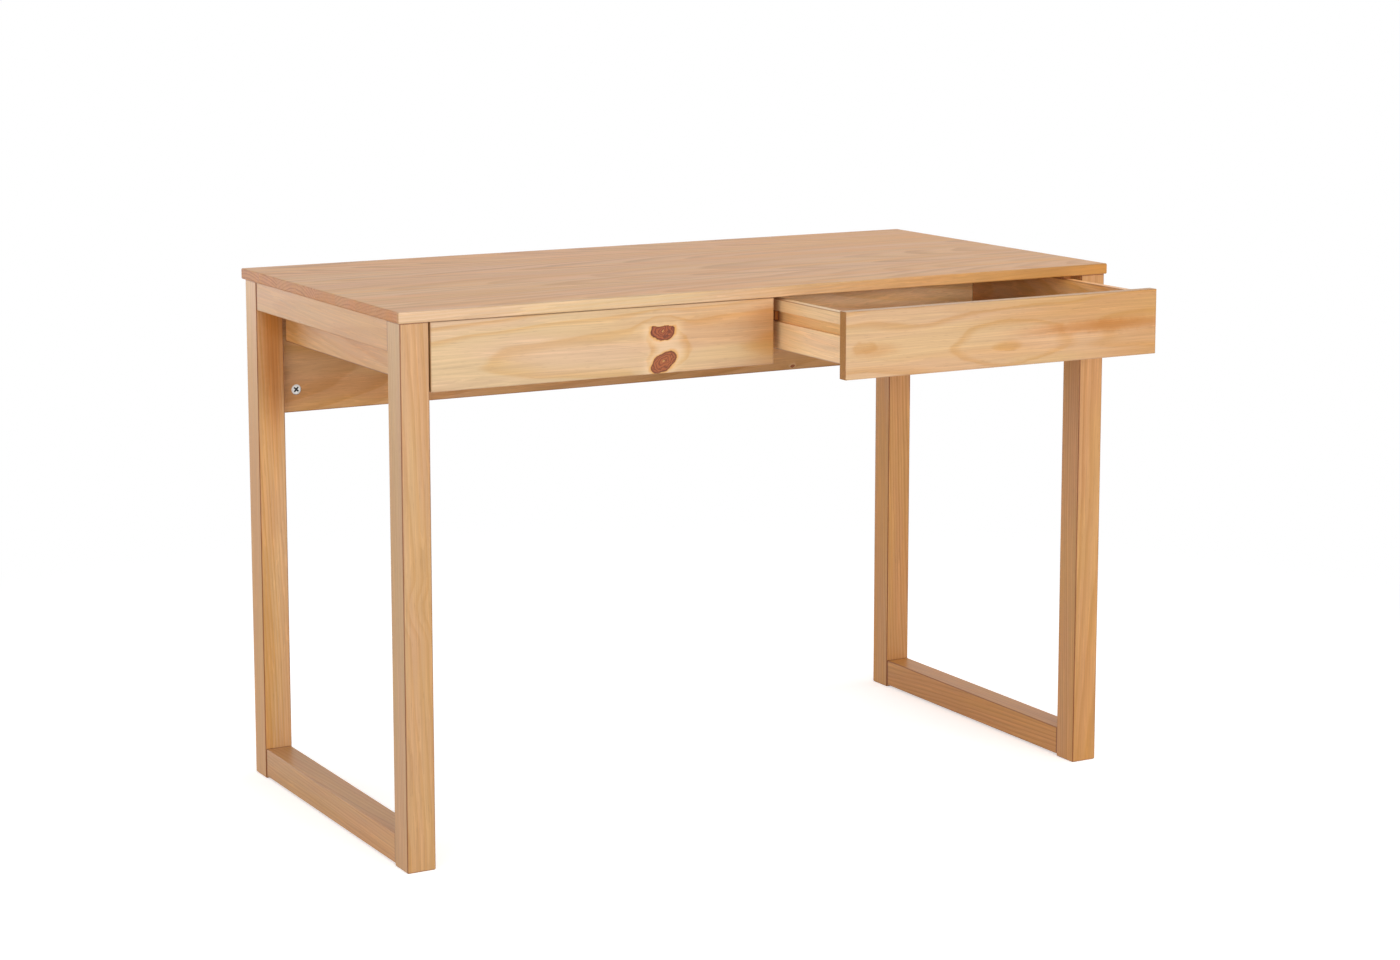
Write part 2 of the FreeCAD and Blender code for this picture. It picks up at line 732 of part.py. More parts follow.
def make_drawer_bottom(side, slid):
    """The thin bottom, held in the grooves of the four walls."""
    low_x, high_x = span(side, "room_inner_x - bottom_reach", "room_outer_x + bottom_reach")
    low = (low_x, "front_back_y - bottom_reach", "bottom_low_z")
    high = (high_x, "room_back_y + bottom_reach", "bottom_low_z + bottom_thickness")
    block(f"{side}_drawer_bottom", low, high, slid)


def make_drawer_dowels(side, slid, pattern):
    """The dowels in the corner joints of one drawer."""
    spots = []
    for _, outer, inner, toward in drawer_walls(side):
        away = "-X" if toward == "+X" else "+X"
        seat = f"{inner} {'+' if away == outward(side) else '-'} drawer_dowel_seat"
        for z in DRAWER_DOWEL_Z:
            middle = mirrored(side, f"({outer} + {inner}) / 2")
            spots.append(("+Y", (middle, f"front_back_y - drawer_dowel_seat + ({slid})", z)))
            spots.append((toward, (mirrored(side, seat), f"{DRAWER_BACK_Y} + ({slid})", z)))
    fasteners(f"{side}_drawer_dowels", pattern, spots)


def make_frame_fasteners():
    """The dowels, screws, cam locks and bolts that hold the standing parts together."""
    frame_dowel = dowel("FrameDowel", "dowel_diameter", "dowel_length")
    spots = []
    for side in SIDES:
        for z in RAIL_DOWEL_Z["top_rail"] + RAIL_DOWEL_Z["bottom_rail"]:
            for joint in ("front_leg_back_y", "rear_leg_front_y"):
                spots.append(("+Y", (mirrored(side, "leg_middle_x"), f"{joint} - dowel_seat", z)))
    fasteners("frame_dowels", frame_dowel, spots)

    spots = []
    for side in SIDES:
        start = mirrored(side, "leg_inner_x + dowel_seat")
        spots.append((inward(side), (start, "panel_middle_y", PANEL_DOWEL_Z)))
    fasteners("panel_dowels", frame_dowel, spots)

    locks = []
    bolts = []
    for side in SIDES:
        for z in CAM_Z:
            start = mirrored(side, "leg_inner_x + bolt_thread_length")
            locks.append(("+Y", (mirrored(side, "cam_x"), "panel_front_y", z)))
            bolts.append((inward(side), (start, "panel_middle_y", z)))
    fasteners("cam_locks", cam_lock(), locks)
    fasteners("cam_bolts", cam_bolt(), bolts)

    divider_dowel = dowel("DividerDowel", "dowel_diameter", "divider_dowel_length")
    start = "top_under + top_bite - divider_dowel_length"
    fasteners("divider_dowels", divider_dowel, [("+Z", ("0", y, start)) for y in DIVIDER_DOWEL_Y])

    divider_screw = wood_screw("DividerScrew", "screw", "divider_screw_length")
    spots = [("-Y", ("0", "panel_back_y", z)) for z in DIVIDER_SCREW_Z]
    fasteners("divider_screws", divider_screw, spots)

    reach = "(top_under - counterbore_z + top_bite)"
    desktop_screw = wood_screw("DesktopScrew", "screw", reach)
    spots = []
    for side in SIDES:
        for y in DESKTOP_SCREW_Y:
            spots.append(("+Z", (mirrored(side, "leg_middle_x"), y, "counterbore_z")))
    fasteners("desktop_screws", desktop_screw, spots)

    board_screw = wood_screw("BoardScrew", "screw", "board_screw_length")
    spots = []
    for side in SIDES:
        for row in BOARD_SCREWS.values():
            for y, z in row:
                spots.append((outward(side), (mirrored(side, "side_board_x"), y, z)))
    fasteners("side_board_screws", board_screw, spots)

    runner_screw = wood_screw("RunnerScrew", "runner_screw", "runner_screw_length")
    spots = []
    for side in SIDES:
        for _, free, toward, staggered in runner_seats(side).values():
            for y in runner_screw_y(staggered):
                spots.append((toward, (mirrored(side, free), y, "runner_middle_z")))
    fasteners("runner_screws", runner_screw, spots)


def check_model():
    """Stop at the first feature that failed, cut nothing or left a bad shape."""
    document.recompute()
    for item in document.Objects:
        if "Invalid" in item.State or "Error" in item.State:
            raise RuntimeError(f"{item.Label} failed to build")
        if item.TypeId in ("PartDesign::Pocket", "PartDesign::SubtractiveCone"):
            if item.Shape.Volume >= item.BaseFeature.Shape.Volume:
                raise RuntimeError(f"{item.Label} cuts nothing")
    for node in nodes:
        if node.Shape.isNull() or not node.Shape.isValid():
            raise RuntimeError(f"{node.Label} has no valid shape")


def write_parts():
    """Write each piece to a file of its own."""
    os.makedirs("parts", exist_ok=True)
    for node in nodes:
        node.Shape.exportStep(f"parts/{node.Label}.step")


fill_sheet()
make_desktop()
for side in SIDES:
    for end in ("front", "rear"):
        make_leg(side, end)
    for rail in RAIL_DOWEL_Z:
        make_rail(side, rail)
make_back_panel()
make_divider()
drawer_dowel = dowel("DrawerDowel", "drawer_dowel_diameter", "drawer_dowel_length")
for side in SIDES:
    make_side_board(side)
    make_runners(side)
    slid = "-drawer_opening" if side == "right" else "0"
    make_drawer_front(side, slid)
    for wall in drawer_walls(side):
        make_drawer_side(side, slid, wall)
    make_drawer_back(side, slid)
    make_drawer_bottom(side, slid)
    make_drawer_dowels(side, slid, drawer_dowel)
make_frame_fasteners()
check_model()
write_parts()
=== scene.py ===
"""Looks of a pine writing desk: figured, lacquered boards, bright fittings, a plain stage and the camera."""

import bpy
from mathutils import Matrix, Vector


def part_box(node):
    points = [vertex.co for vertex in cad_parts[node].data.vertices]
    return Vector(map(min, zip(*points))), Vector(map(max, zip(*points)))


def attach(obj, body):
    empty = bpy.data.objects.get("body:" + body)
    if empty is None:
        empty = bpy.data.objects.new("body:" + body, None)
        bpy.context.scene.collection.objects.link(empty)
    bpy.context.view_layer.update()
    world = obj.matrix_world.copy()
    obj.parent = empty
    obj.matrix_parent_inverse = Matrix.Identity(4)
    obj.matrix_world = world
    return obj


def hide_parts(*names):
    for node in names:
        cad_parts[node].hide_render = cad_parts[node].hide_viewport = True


bl_info = {
    "name": "Pine Writing Desk",
    "version": (1, 0, 0),
    "blender": (4, 5, 0),
    "location": "3D View > Sidebar > Desk",
    "description": "Gives each board of a writing desk its own sawn figure and sets a plain stage",
    "category": "Object",
}

import math
from typing import NamedTuple

import bmesh
import bpy
from bpy.props import FloatProperty, FloatVectorProperty, PointerProperty
from mathutils import Matrix, Vector

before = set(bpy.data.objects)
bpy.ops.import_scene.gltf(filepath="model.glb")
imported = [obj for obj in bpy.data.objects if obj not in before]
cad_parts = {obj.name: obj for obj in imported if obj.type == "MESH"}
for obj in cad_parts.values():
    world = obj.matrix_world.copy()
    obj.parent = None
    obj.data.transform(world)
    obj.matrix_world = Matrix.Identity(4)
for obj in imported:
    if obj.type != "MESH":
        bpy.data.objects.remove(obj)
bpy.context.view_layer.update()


def linear(hex_colour):
    """An sRGB hex colour as linear red, green and blue."""
    channels = [int(hex_colour[start:start + 2], 16) / 255 for start in (1, 3, 5)]
    return tuple(c / 12.92 if c <= 0.04045 else ((c + 0.055) / 1.055) ** 2.4 for c in channels)


def mm(*sizes):
    """Millimetres as metres."""
    return tuple(size / 1000 for size in sizes)


COLOUR = {"subtype": "COLOR", "min": 0, "max": 1}


class PineLook(bpy.types.PropertyGroup):
    """Colours and sizes of the lacquered pine."""

    pale_early: FloatVectorProperty(
        name="Pale early wood", description="Spring growth in the palest boards",
        default=linear("#DEC19B"), **COLOUR)
    deep_early: FloatVectorProperty(
        name="Deep early wood", description="Spring growth in the deepest boards",
        default=linear("#C88D49"), **COLOUR)
    pale_late: FloatVectorProperty(
        name="Pale late wood", description="Dense wood that closes each ring in the palest boards",
        default=linear("#D6A65C"), **COLOUR)
    deep_late: FloatVectorProperty(
        name="Deep late wood", description="Dense wood that closes each ring in the deepest boards",
        default=linear("#9E5F20"), **COLOUR)
    amber: FloatVectorProperty(
        name="Amber", description="Resin-rich clouds in the wood",
        default=linear("#CE913F"), **COLOUR)
    rosy: FloatVectorProperty(
        name="Rosy", description="Tint of the pinker patches",
        default=linear("#FFF6F6"), **COLOUR)
    golden: FloatVectorProperty(
        name="Golden", description="Tint of the yellower patches",
        default=linear("#FFFBF1"), **COLOUR)
    end_grain: FloatVectorProperty(
        name="End grain", description="Tint of cut fibre ends, which drink more lacquer",
        default=linear("#DABF96"), **COLOUR)
    # Darkening for grooves and bores: painted shade in the recesses
    recess: FloatVectorProperty(
        name="Recess", description="Tint of grooves and bores, where the cut wood drinks more lacquer",
        default=linear("#F7EBD5"), **COLOUR)
    arris: FloatVectorProperty(
        name="Arris", description="Tint along sanded edges, where the stain gathers",
        default=linear("#8E5A34"), **COLOUR)
    knot_heart: FloatVectorProperty(
        name="Knot heart", description="Red-brown wood of a knot",
        default=linear("#954B24"), **COLOUR)
    knot_rim: FloatVectorProperty(
        name="Knot rim", description="Dark bark round a knot",
        default=linear("#521D0B"), **COLOUR)
    knot_halo: FloatVectorProperty(
        name="Knot halo", description="Pale wood that closes round a knot",
        default=linear("#E6C9A4"), **COLOUR)
    stave_width: FloatProperty(
        name="Stave width", description="Width of the strips glued into the top",
        unit="LENGTH", min=0.02, default=0.06875)
    arris_width: FloatProperty(
        name="Arris width", description="Width of the toned line along an edge",
        unit="LENGTH", min=0.0002, default=0.0020)


class FittingLook(bpy.types.PropertyGroup):
    """Colours of the metal fittings, the dowels and the drawer bottoms, and the sizes of a cam lock."""

    zinc: FloatVectorProperty(
        name="Zinc", description="Bright die casting", default=linear("#D9D6D1"), **COLOUR)
    # Dark, dull zinc for a lock's cross recess: painted shade in the recess
    skin: FloatVectorProperty(
        name="Casting skin", description="Dull zinc inside the recess of a lock",
        default=linear("#4C4A48"), **COLOUR)
    steel: FloatVectorProperty(
        name="Steel", description="Zinc-plated screws and bolts", default=linear("#BFC0C2"), **COLOUR)
    hardboard: FloatVectorProperty(
        name="Hardboard", description="Pressed brown fibre", default=linear("#B5834E"), **COLOUR)
    beech: FloatVectorProperty(
        name="Beech", description="Dowel wood", default=linear("#D3A876"), **COLOUR)
    lock_diameter: FloatProperty(
        name="Lock diameter", description="Across a cam lock's drum",
        unit="LENGTH", min=0.005, default=0.015)
    lock_turn: FloatProperty(
        name="Lock turn", description="How far the locks were turned home",
        unit="ROTATION", default=math.radians(42))
    recess_width: FloatProperty(
        name="Recess width", description="Across one arm of a lock's cross",
        unit="LENGTH", min=0.0005, default=0.0024)
    recess_length: FloatProperty(
        name="Recess length", description="From tip to tip of a lock's cross",
        unit="LENGTH", min=0.002, default=0.0090)
    recess_depth: FloatProperty(
        name="Recess depth", description="Depth of a lock's cross",
        unit="LENGTH", min=0.0005, default=0.0026)


class StageLook(bpy.types.PropertyGroup):
    """Floor, lights and camera."""

    floor: FloatVectorProperty(
        name="Floor", description="Colour of the seamless floor", default=linear("#F4F4F4"), **COLOUR)
    floor_lift: FloatProperty(
        name="Floor lift", description="Glow that brings the lit floor up to white in the picture",
        min=0, max=1, default=0.5)
    sky_strength: FloatProperty(
        name="Sky strength", description="Light from all round", min=0, default=0.38)
    key_power: FloatProperty(
        name="Key power", description="Large soft light in front", unit="POWER", min=0, default=55)
    overhead_power: FloatProperty(
        name="Overhead power", description="Large soft light overhead", unit="POWER", min=0, default=14.5)
    fill_power: FloatProperty(
        name="Fill power", description="Soft light at the left side", unit="POWER", min=0, default=20)
    side_power: FloatProperty(
        name="Side power", description="Soft light at the right side", unit="POWER", min=0, default=14)
    rear_power: FloatProperty(
        name="Rear power", description="Soft light behind", unit="POWER", min=0, default=18)
    lens: FloatProperty(
        name="Lens", description="Focal length in millimetres on a 36 mm sensor", min=10, default=76.89)
    rise: FloatProperty(
        name="Lens shift", description="Vertical shift of the lens, as a share of the width", default=-0.085)


class Board(NamedTuple):
    """How a board was sawn and finished. Its own X runs along the grain, and Y and Z across it."""

    grain: str  # the desk's axis that the grain follows
    heart_mm: tuple  # the log's heart in Y and Z, from the middle of the board
    drift: tuple = (0.0, 0.0)  # how far the heart moves in Y and Z along the board, as a slope
    ring_mm: float = 4.5  # one year's growth
    wander_mm: float = 14.0  # how far the rings stray
    contrast: float = 0.6  # how much the late wood stands out
    warmth: float = 0.4  # amber in the resin clouds
    depth: float = 0.5  # 0 is the palest wood, 1 the deepest
    arris: float = 0.8  # how much the edges are toned
    stain: float = 0.8  # how much the end grain is toned
    late: float = 0.25  # where in a ring the late wood sets in
    tone: float = 0.87  # brightness of the whole board
    ripen: float = 0.0  # amber gained in each metre along the board
    ripe_from_mm: float = 0.0  # where along the board that begins
    joint: float = 0.0  # how much the butted ends are toned


class Knot(NamedTuple):
    """A knot, or an eye in the rings, that runs through a board's thickness; placed in its X and Z."""

    place_mm: tuple
    half_mm: tuple  # half its length and height
    turn: float = 0.0  # in degrees
    flat_top_mm: float = 100.0  # how high over its middle it is cut off
    bulge_mm: float = 12.0  # how far the rings swing out round it, or close to an eye if negative
    core: float = 1.0  # how much knot wood shows
    resin: float = 0.0  # how much amber soaks the wood: resin, and on some boards painted shade


def resin_and_shade_patch(place_mm, half_mm, resin):
    """A patch of resin with no knot in it; on some boards the patch is painted shade."""
    return Knot(place_mm, half_mm, bulge_mm=0.0, core=0.0, resin=resin)


# Along each grain axis, the turn that lays the board's length on X
TURNS = {
    "X": (0.0, 0.0, 0.0),
    "Y": (0.0, 0.0, -math.pi / 2),
    "Z": (0.0, math.pi / 2, 0.0),
}

DESKTOP = Board("X", (10, -110), (0.02, 0.03), 4.8, 16, arris=0.2, stain=0.9, ripe_from_mm=-100)
LEGS = {
    "left_front_leg": Board(
        "Z", (70, 42), (0.02, 0.01), 4.6, 9, 0.45, 0.30, 0.46, arris=1.0, tone=0.75, ripen=-0.5),
    "left_rear_leg": Board(
        "Z", (-58, 60), (-0.03, 0.01), 4.0, 10, 0.60, 0.45, 0.45, arris=1.0, tone=0.88, ripen=-0.6),
    "right_front_leg": Board(
        "Z", (85, -30), (0.01, -0.02), 4.4, 9, 0.55, 0.35, 0.73, arris=1.0, tone=0.83, ripen=-0.3),
    "right_rear_leg": Board(
        "Z", (-64, -44), (0.02, 0.02), 4.2, 9, 0.60, 0.65, 0.80, arris=1.0, tone=0.85),
}
RAILS = {
    "left_top_rail": Board(
        "Y", (105, -12), (0.02, 0.02), 5.0, 10, 0.35, 0.30, 0.70, arris=0.3, tone=0.82, joint=1.0),
    "right_top_rail": Board(
        "Y", (-90, 20), (0.06, 0.03), 5.5, 10, 0.45, 0.35, 0.60, arris=0.3, joint=1.0),
    "left_bottom_rail": Board(
        "Y", (42, 66), (0.03, 0.02), 4.4, 9, 0.55, 0.40, 0.72, arris=0.3, tone=0.82, joint=1.0),
    "right_bottom_rail": Board(
        "Y", (-52, 60), (0.02, -0.03), 4.4, 9, 0.55, 0.60, 0.92, tone=0.86, joint=1.0),
}
PANELS = {
    "back_panel": Board("X", (130, -40), (0.05, 0.02), 6.0, 26, 0.60, 0.35, 0.60),
    "left_side_board": Board("Y", (80, 10), (0.05, 0.03), 5.0, 16, 0.60, 0.45, 0.62, arris=1.0),
    "right_side_board": Board("Y", (-80, -18), (0.05, -0.02), 5.0, 16, 0.60, 0.45, 0.60),
    "centre_divider": Board("Y", (-70, 26), (0.04, 0.03), 4.5, 16, 0.60, 0.45, 0.60),
}
RUNNERS = {
    "left_drawer_outer_runner": Board("Y", (48, 40), ring_mm=3.6, depth=1.0, stain=1.0),
    "left_drawer_inner_runner": Board("Y", (-48, 36), ring_mm=3.6, depth=1.0, stain=1.0),
    "right_drawer_outer_runner": Board("Y", (52, -38), ring_mm=3.6, depth=1.0, stain=1.0),
    "right_drawer_inner_runner": Board("Y", (-44, -40), ring_mm=3.6, depth=1.0, stain=1.0),
}
DRAWER_FRONTS = {
    "left_drawer_front": Board(
        "X", (153.5, -13), (-0.018, 0.0), 5.5, 4, 0.74, 0.25, 0.05,
        arris=0.25, late=0.5, tone=0.75, ripen=0.8),
    "right_drawer_front": Board(
        "X", (303.2, -4), (-0.006, 0.0), 3.0, 3, 0.90, 0.45, 0.28,
        arris=0.25, stain=1.0, late=0.55, tone=0.78, ripen=0.5),
}
# The drawer boards are toned brighter than the other boards, some above 1: paler bare pine, and painted light
# inside the drawers
DRAWER_BOXES = {
    "left_drawer_left_side": Board("Y", (95, 6), (0.05, 0.02), 5.5, 14, 0.45, 0.15, 0.0, tone=1.15),
    "left_drawer_right_side": Board("Y", (-95, 10), (0.05, 0.03), 5.5, 14, 0.55, 0.30, 0.05, tone=1.15),
    "right_drawer_left_side": Board(
        "Y", (70, 34), (0.04, 0.02), 6.5, 14, 0.15, 0.0, 0.0, tone=1.16, ripen=4.0, ripe_from_mm=-110),
    "right_drawer_right_side": Board("Y", (-105, -8), (0.06, 0.02), 6.0, 16, 0.60, 0.40, 0.38, tone=1.4),
    "left_drawer_back": Board("X", (-110, 20), (0.05, 0.02), 6.0, 16, 0.55, 0.20, 0.0, tone=1.15),
    "right_drawer_back": Board("X", (-120, 30), (0.06, 0.04), 7.0, 18, 0.60, 0.20, 0.22, tone=1.38),
}
# Each board's own number, which keeps its figure from repeating another's
BOARD_GROUPS = (LEGS, RAILS, PANELS, RUNNERS, DRAWER_FRONTS, DRAWER_BOXES)
SEEDS = {name: seed for seed, name in enumerate((name for group in BOARD_GROUPS for name in group), start=1)}

KNOTS = {
    "left_drawer_front": [
        Knot((81.5, 11.5), (18.6, 12.5), turn=-3, flat_top_mm=6.5, bulge_mm=-6),
        Knot((83.4, -30.0), (21.0, 12.0), turn=28, bulge_mm=-6, core=0.95),
        resin_and_shade_patch((190.0, 22.0), (120.0, 12.0), 0.35),
        # Amber over the right end, beside the open drawer: painted shade
        resin_and_shade_patch((260.0, -4.0), (50.0, 60.0), 0.45),
    ],
    "right_drawer_front": [
        Knot((5.0, -12.0), (46.0, 22.0), bulge_mm=-3.7, core=0.0),
        Knot((-222.0, -6.0), (18.0, 9.0), bulge_mm=-2.0, core=0.0),
        resin_and_shade_patch((-205.0, -9.0), (34.0, 9.0), 0.35),
        resin_and_shade_patch((165.0, 0.0), (140.0, 9.0), 0.65),
    ],
    "back_panel": [
        Knot((339.0, -89.5), (3.6, 3.0), bulge_mm=-1.5, core=0.9),
    ],
    "left_front_leg": [
        Knot((-12.0, 2.0), (16.0, 14.0), turn=30, bulge_mm=5.0, core=0.0),
    ],
    "left_rear_leg": [
        # Amber over the upper part of the leg, under the desktop and rail: painted shade
        resin_and_shade_patch((285.0, -5.0), (155.0, 19.0), 0.85),
    ],
}

# Length along and width across the grain of each pattern in the wood, in millimetres, with its detail.
# Fibres and pores are finer in life, and are drawn coarse enough to show.
PATTERNS = {
    "fibre": (110, 1.6, 3.0),
    "line": (520, 3.2, 2.0),
    "thread": (420, 6.0, 1.0),
    "streak": (900, 24, 2.0),
    "pore": (16, 1.3, 1.0),
    "cloud": (650, 48, 2.0),
    "blush": (260, 40, 2.0),
}
WANDER_MM = (800, 240)
RIPPLE_MM = (110, 26)
RIPPLE_DEPTH_MM = 1.3
SEED_STEP = (1.7, 2.3, 3.1)
NOISE_MIDDLE = 0.5
MIDDLE = (NOISE_MIDDLE,) * 3
# Noise swings by half, and only its push across the grain moves the rings
WANDER_PUSH = (0.0, 2.0, 2.0)
ACROSS_GRAIN = (0.0, 1.0, 1.0)
IN_FACE = (1.0, 0.0, 1.0)

# Rings: good and poor years come in spells, and the late wood is densest just before a ring ends
SPELL_SCALE = 0.31
SPELL_SHIFT = 0.9
DENSEST = 0.88
VIGOUR = {"To Min": 0.5, "To Max": 1.0}

# Where each soft edge of the figure begins and is full, on the noise, angle or depth that draws it
PORE_SPAN = {"From Min": 0.62, "From Max": 0.74}
CLOUD_SPAN = {"From Min": 0.42, "From Max": 0.66}
BLUSH_SPAN = {"From Min": 0.38, "From Max": 0.62}
END_SPAN = {"From Min": 0.6, "From Max": 0.95}
# The depth over which grooves and bores take their painted shade
RECESS_SHADE_SPAN = {"From Min": 0.0008, "From Max": 0.0025}

# How dark and light the lines, fibres and streaks make the wood, and how threads and pores change it.
# A thread runs where its noise is this close to the middle.
LIGHT_SPAN = {"From Min": 0.25, "From Max": 0.75}
LIGHTS = {"line": (0.945, 1.055), "fibre": (0.925, 1.075), "streak": (0.945, 1.055)}
THREAD_HALF = 0.025
THREAD_LIGHT = 1.09
PORE_LIGHT = 0.90

# Satin lacquer: roughness over the fibres, what end grain adds to it, and the relief of late wood
GLOSS = {"From Min": 0.2, "From Max": 0.8, "To Min": 0.36, "To Max": 0.50}
END_ROUGHER = 0.12
LATE_RELIEF = 0.6

# Knots: the size and push of their ragged edge, how sharply a flat top cuts, and where each layer begins
# and is full, in shares of their half size
RAGGED_MM = 9.091
RAGGED_PUSH = (0.007, 0.0, 0.007)
FLAT_TOP_EDGE = 160.0
RESIN_SPAN = {"From Min": 1.5, "From Max": 0.2}
HALO_SPAN = {"From Min": 2.1, "From Max": 1.1, "To Max": 0.35}
FRINGE_SPAN = {"From Min": 1.25, "From Max": 1.0, "To Max": 0.8}
HEART_RINGS = 4.0
HEART_WAVER = 0.9
HEART_SPAN = {"From Min": -0.2, "From Max": 1.0, "To Max": 0.75}
PITH_SPAN = {"From Min": 0.12, "From Max": 0.04, "To Max": 0.5}
RIM_SPAN = {"From Min": 0.76, "From Max": 0.98, "To Max": 0.85}
INSIDE_SPAN = {"From Min": 1.02, "From Max": 0.96}
BEND_SPAN = {"From Min": 3.2, "From Max": 0.0}

# Staves of the top: each comes from another part of the log, thrown aside by up to half of this in metres
STAVE_THROW = (4.0, 0.10, 0.16)
STAVE_TONE = {"To Min": 0.98, "To Max": 1.06}
STAVE_DEPTH = {"To Min": 0.68, "To Max": 0.84}
# The front strip of the top, along its front edge: from cream at the left to amber at the right, and brighter
# over the open drawer, as painted light where the drawer shades it
STRIP_Y = {"From Min": -0.268, "From Max": -0.2745}
STRIP_DEPTH = {"From Min": -0.22, "From Max": 0.22, "To Min": 0.04, "To Max": 0.16}
STRIP_PAINTED_LIGHT_X = 0.2
STRIP_PAINTED_LIGHT = {"From Min": 0.3, "From Max": 0.1, "To Min": 0.80, "To Max": 0.97}
# On the staves, and on the front strip
TOP_FIGURE = {"Contrast": (0.95, 0.30), "Warmth": (0.6, 0.1), "Ripen": (0.3, 1.5)}

# Sizes of the other materials' patterns, in millimetres
MOTTLE_MM = 22.222
PRESSED_FIBRE_MM = 1.1111
BLOTCH_MM = 4
FLECK_MM = 1.6667
# How they change the colour and the gloss
HARDBOARD_LIGHT = {"From Min": 0.6, "From Max": 1.4, "To Min": 0.8, "To Max": 1.18}
HARDBOARD_GLOSS = {"To Min": 0.45, "To Max": 0.65}
BLOTCH_LIGHT = {"To Min": 0.85, "To Max": 1.1}
FLECK_LIGHT = {"To Min": 0.8, "To Max": 1.1}

# Half section of a cam lock, from the land round the recess, out over the groove and rim, and down the drum,
# in shares of its radius and depth
LOCK_SECTION = [
    (0.68, 0.085), (0.78, 0.085), (0.80, 0.130), (0.86, 0.130), (0.88, 0.085),
    (0.95, 0.085), (0.975, 0.100), (0.985, 0.140), (0.985, 1.0), (0.0, 1.0),
]
LOCK_STEPS = 48
RECESS_TAPER = (0.72, 1.0, 0.72)
SHARP_EDGE = math.radians(35)

SCREWS = ("cam_bolts", "divider_screws", "desktop_screws", "side_board_screws", "runner_screws")
DOWELS = ("frame_dowels", "panel_dowels", "divider_dowels", "left_drawer_dowels", "right_drawer_dowels")

# Place and size of each soft light, all turned to the middle of the desk
LAMPS = {
    "key": ((0.3, -3.2, 1.17), (2.8, 0.32)),
    "overhead": ((0.2, -0.3, 2.7), (2.4, 1.8)),
    "fill": ((-2.3, -1.3, 1.0), (1.6, 1.2)),
    "side": ((2.7, -0.3, 1.1), (1.4, 1.2)),
    "rear": ((-1.6, 2.6, 0.9), (1.6, 1.2)),
}
LAMP_AIM = Vector((0.0, 0.0, 0.5))
# Half the width of the floor, and how far from the middle it fades to plain white
FLOOR_HALF = 20.0
FLOOR_FADE = {"From Min": 0.6, "From Max": 1.8}
WHITE = (1, 1, 1, 1)
SENSOR_MM = 36.0
CAMERA_PLACE = (-2.035, -3.691, 1.218)
# Degrees below level, and to the right of straight ahead
CAMERA_DOWN = 8.43
CAMERA_RIGHT = 29.31

FIGURE_INPUTS = {
    "NodeSocketVector": ("Grain", "Heart", "Drift", "Board", "Half Size"),
    "NodeSocketFloat": (
        "Ring Width", "Wander", "Contrast", "Warmth", "Depth", "Tone", "Late", "Ripen", "Ripe From",
        "Seed", "Bulge", "Arris", "Joint", "End", "Stain"),
}
FIGURE_OUTPUTS = {"NodeSocketColor": ("Color",), "NodeSocketFloat": ("Roughness", "Height")}
KNOT_INPUTS = {
    "NodeSocketVector": ("Board", "Place", "Half Size"),
    "NodeSocketFloat": ("Turn", "Flat Top", "Swell", "Core", "Resin"),
    "NodeSocketColor": ("Wood",),
}
KNOT_OUTPUTS = {"NodeSocketColor": ("Color",), "NodeSocketFloat": ("Bulge",)}

# Kinds of nodes and settings that are used often
MATH, VECTOR, RANGE = "ShaderNodeMath", "ShaderNodeVectorMath", "ShaderNodeMapRange"
MIX, NOISE, CHANCE = "ShaderNodeMix", "ShaderNodeTexNoise", "ShaderNodeTexWhiteNoise"
AXES, PLACE, GROUP = "ShaderNodeSeparateXYZ", "ShaderNodeTexCoord", "ShaderNodeGroup"
SHADER, SURFACE = "ShaderNodeBsdfPrincipled", "ShaderNodeOutputMaterial"
SMOOTH = {"interpolation_type": "SMOOTHSTEP"}
BLEND = {"data_type": "RGBA"}
GLAZE = {"data_type": "RGBA", "blend_type": "MULTIPLY"}
# Sockets of a mix node for two numbers and for two colours
LESS, MORE, UNDER, OVER = 2, 3, 6, 7


def node_adder(tree):
    """The function that adds a node to a tree, sets its properties, and sets its inputs or links them."""
    def add(kind, inputs=None, **settings):
        node = tree.nodes.new(kind)
        for name, value in settings.items():
            setattr(node, name, value)
        for key, value in (inputs or {}).items():
            if isinstance(value, bpy.types.Node):
                value = next(socket for socket in value.outputs if socket.enabled)
            if isinstance(value, bpy.types.NodeSocket):
                tree.links.new(value, node.inputs[key])
            else:
                node.inputs[key].default_value = value
        return node
    return add


def stretched(length_mm, width_mm):
    """Pattern repeats in a metre, along the grain and in both axes across it."""
    return 1000 / length_mm, 1000 / width_mm, 1000 / width_mm


def new_group(name, inputs, outputs):
    """An empty node group with its sockets."""
    tree = bpy.data.node_groups.new(name, "ShaderNodeTree")
    for direction, kinds in (("INPUT", inputs), ("OUTPUT", outputs)):
        for kind, sockets in kinds.items():
            for socket in sockets:
                tree.interface.new_socket(name=socket, in_out=direction, socket_type=kind)
    return tree


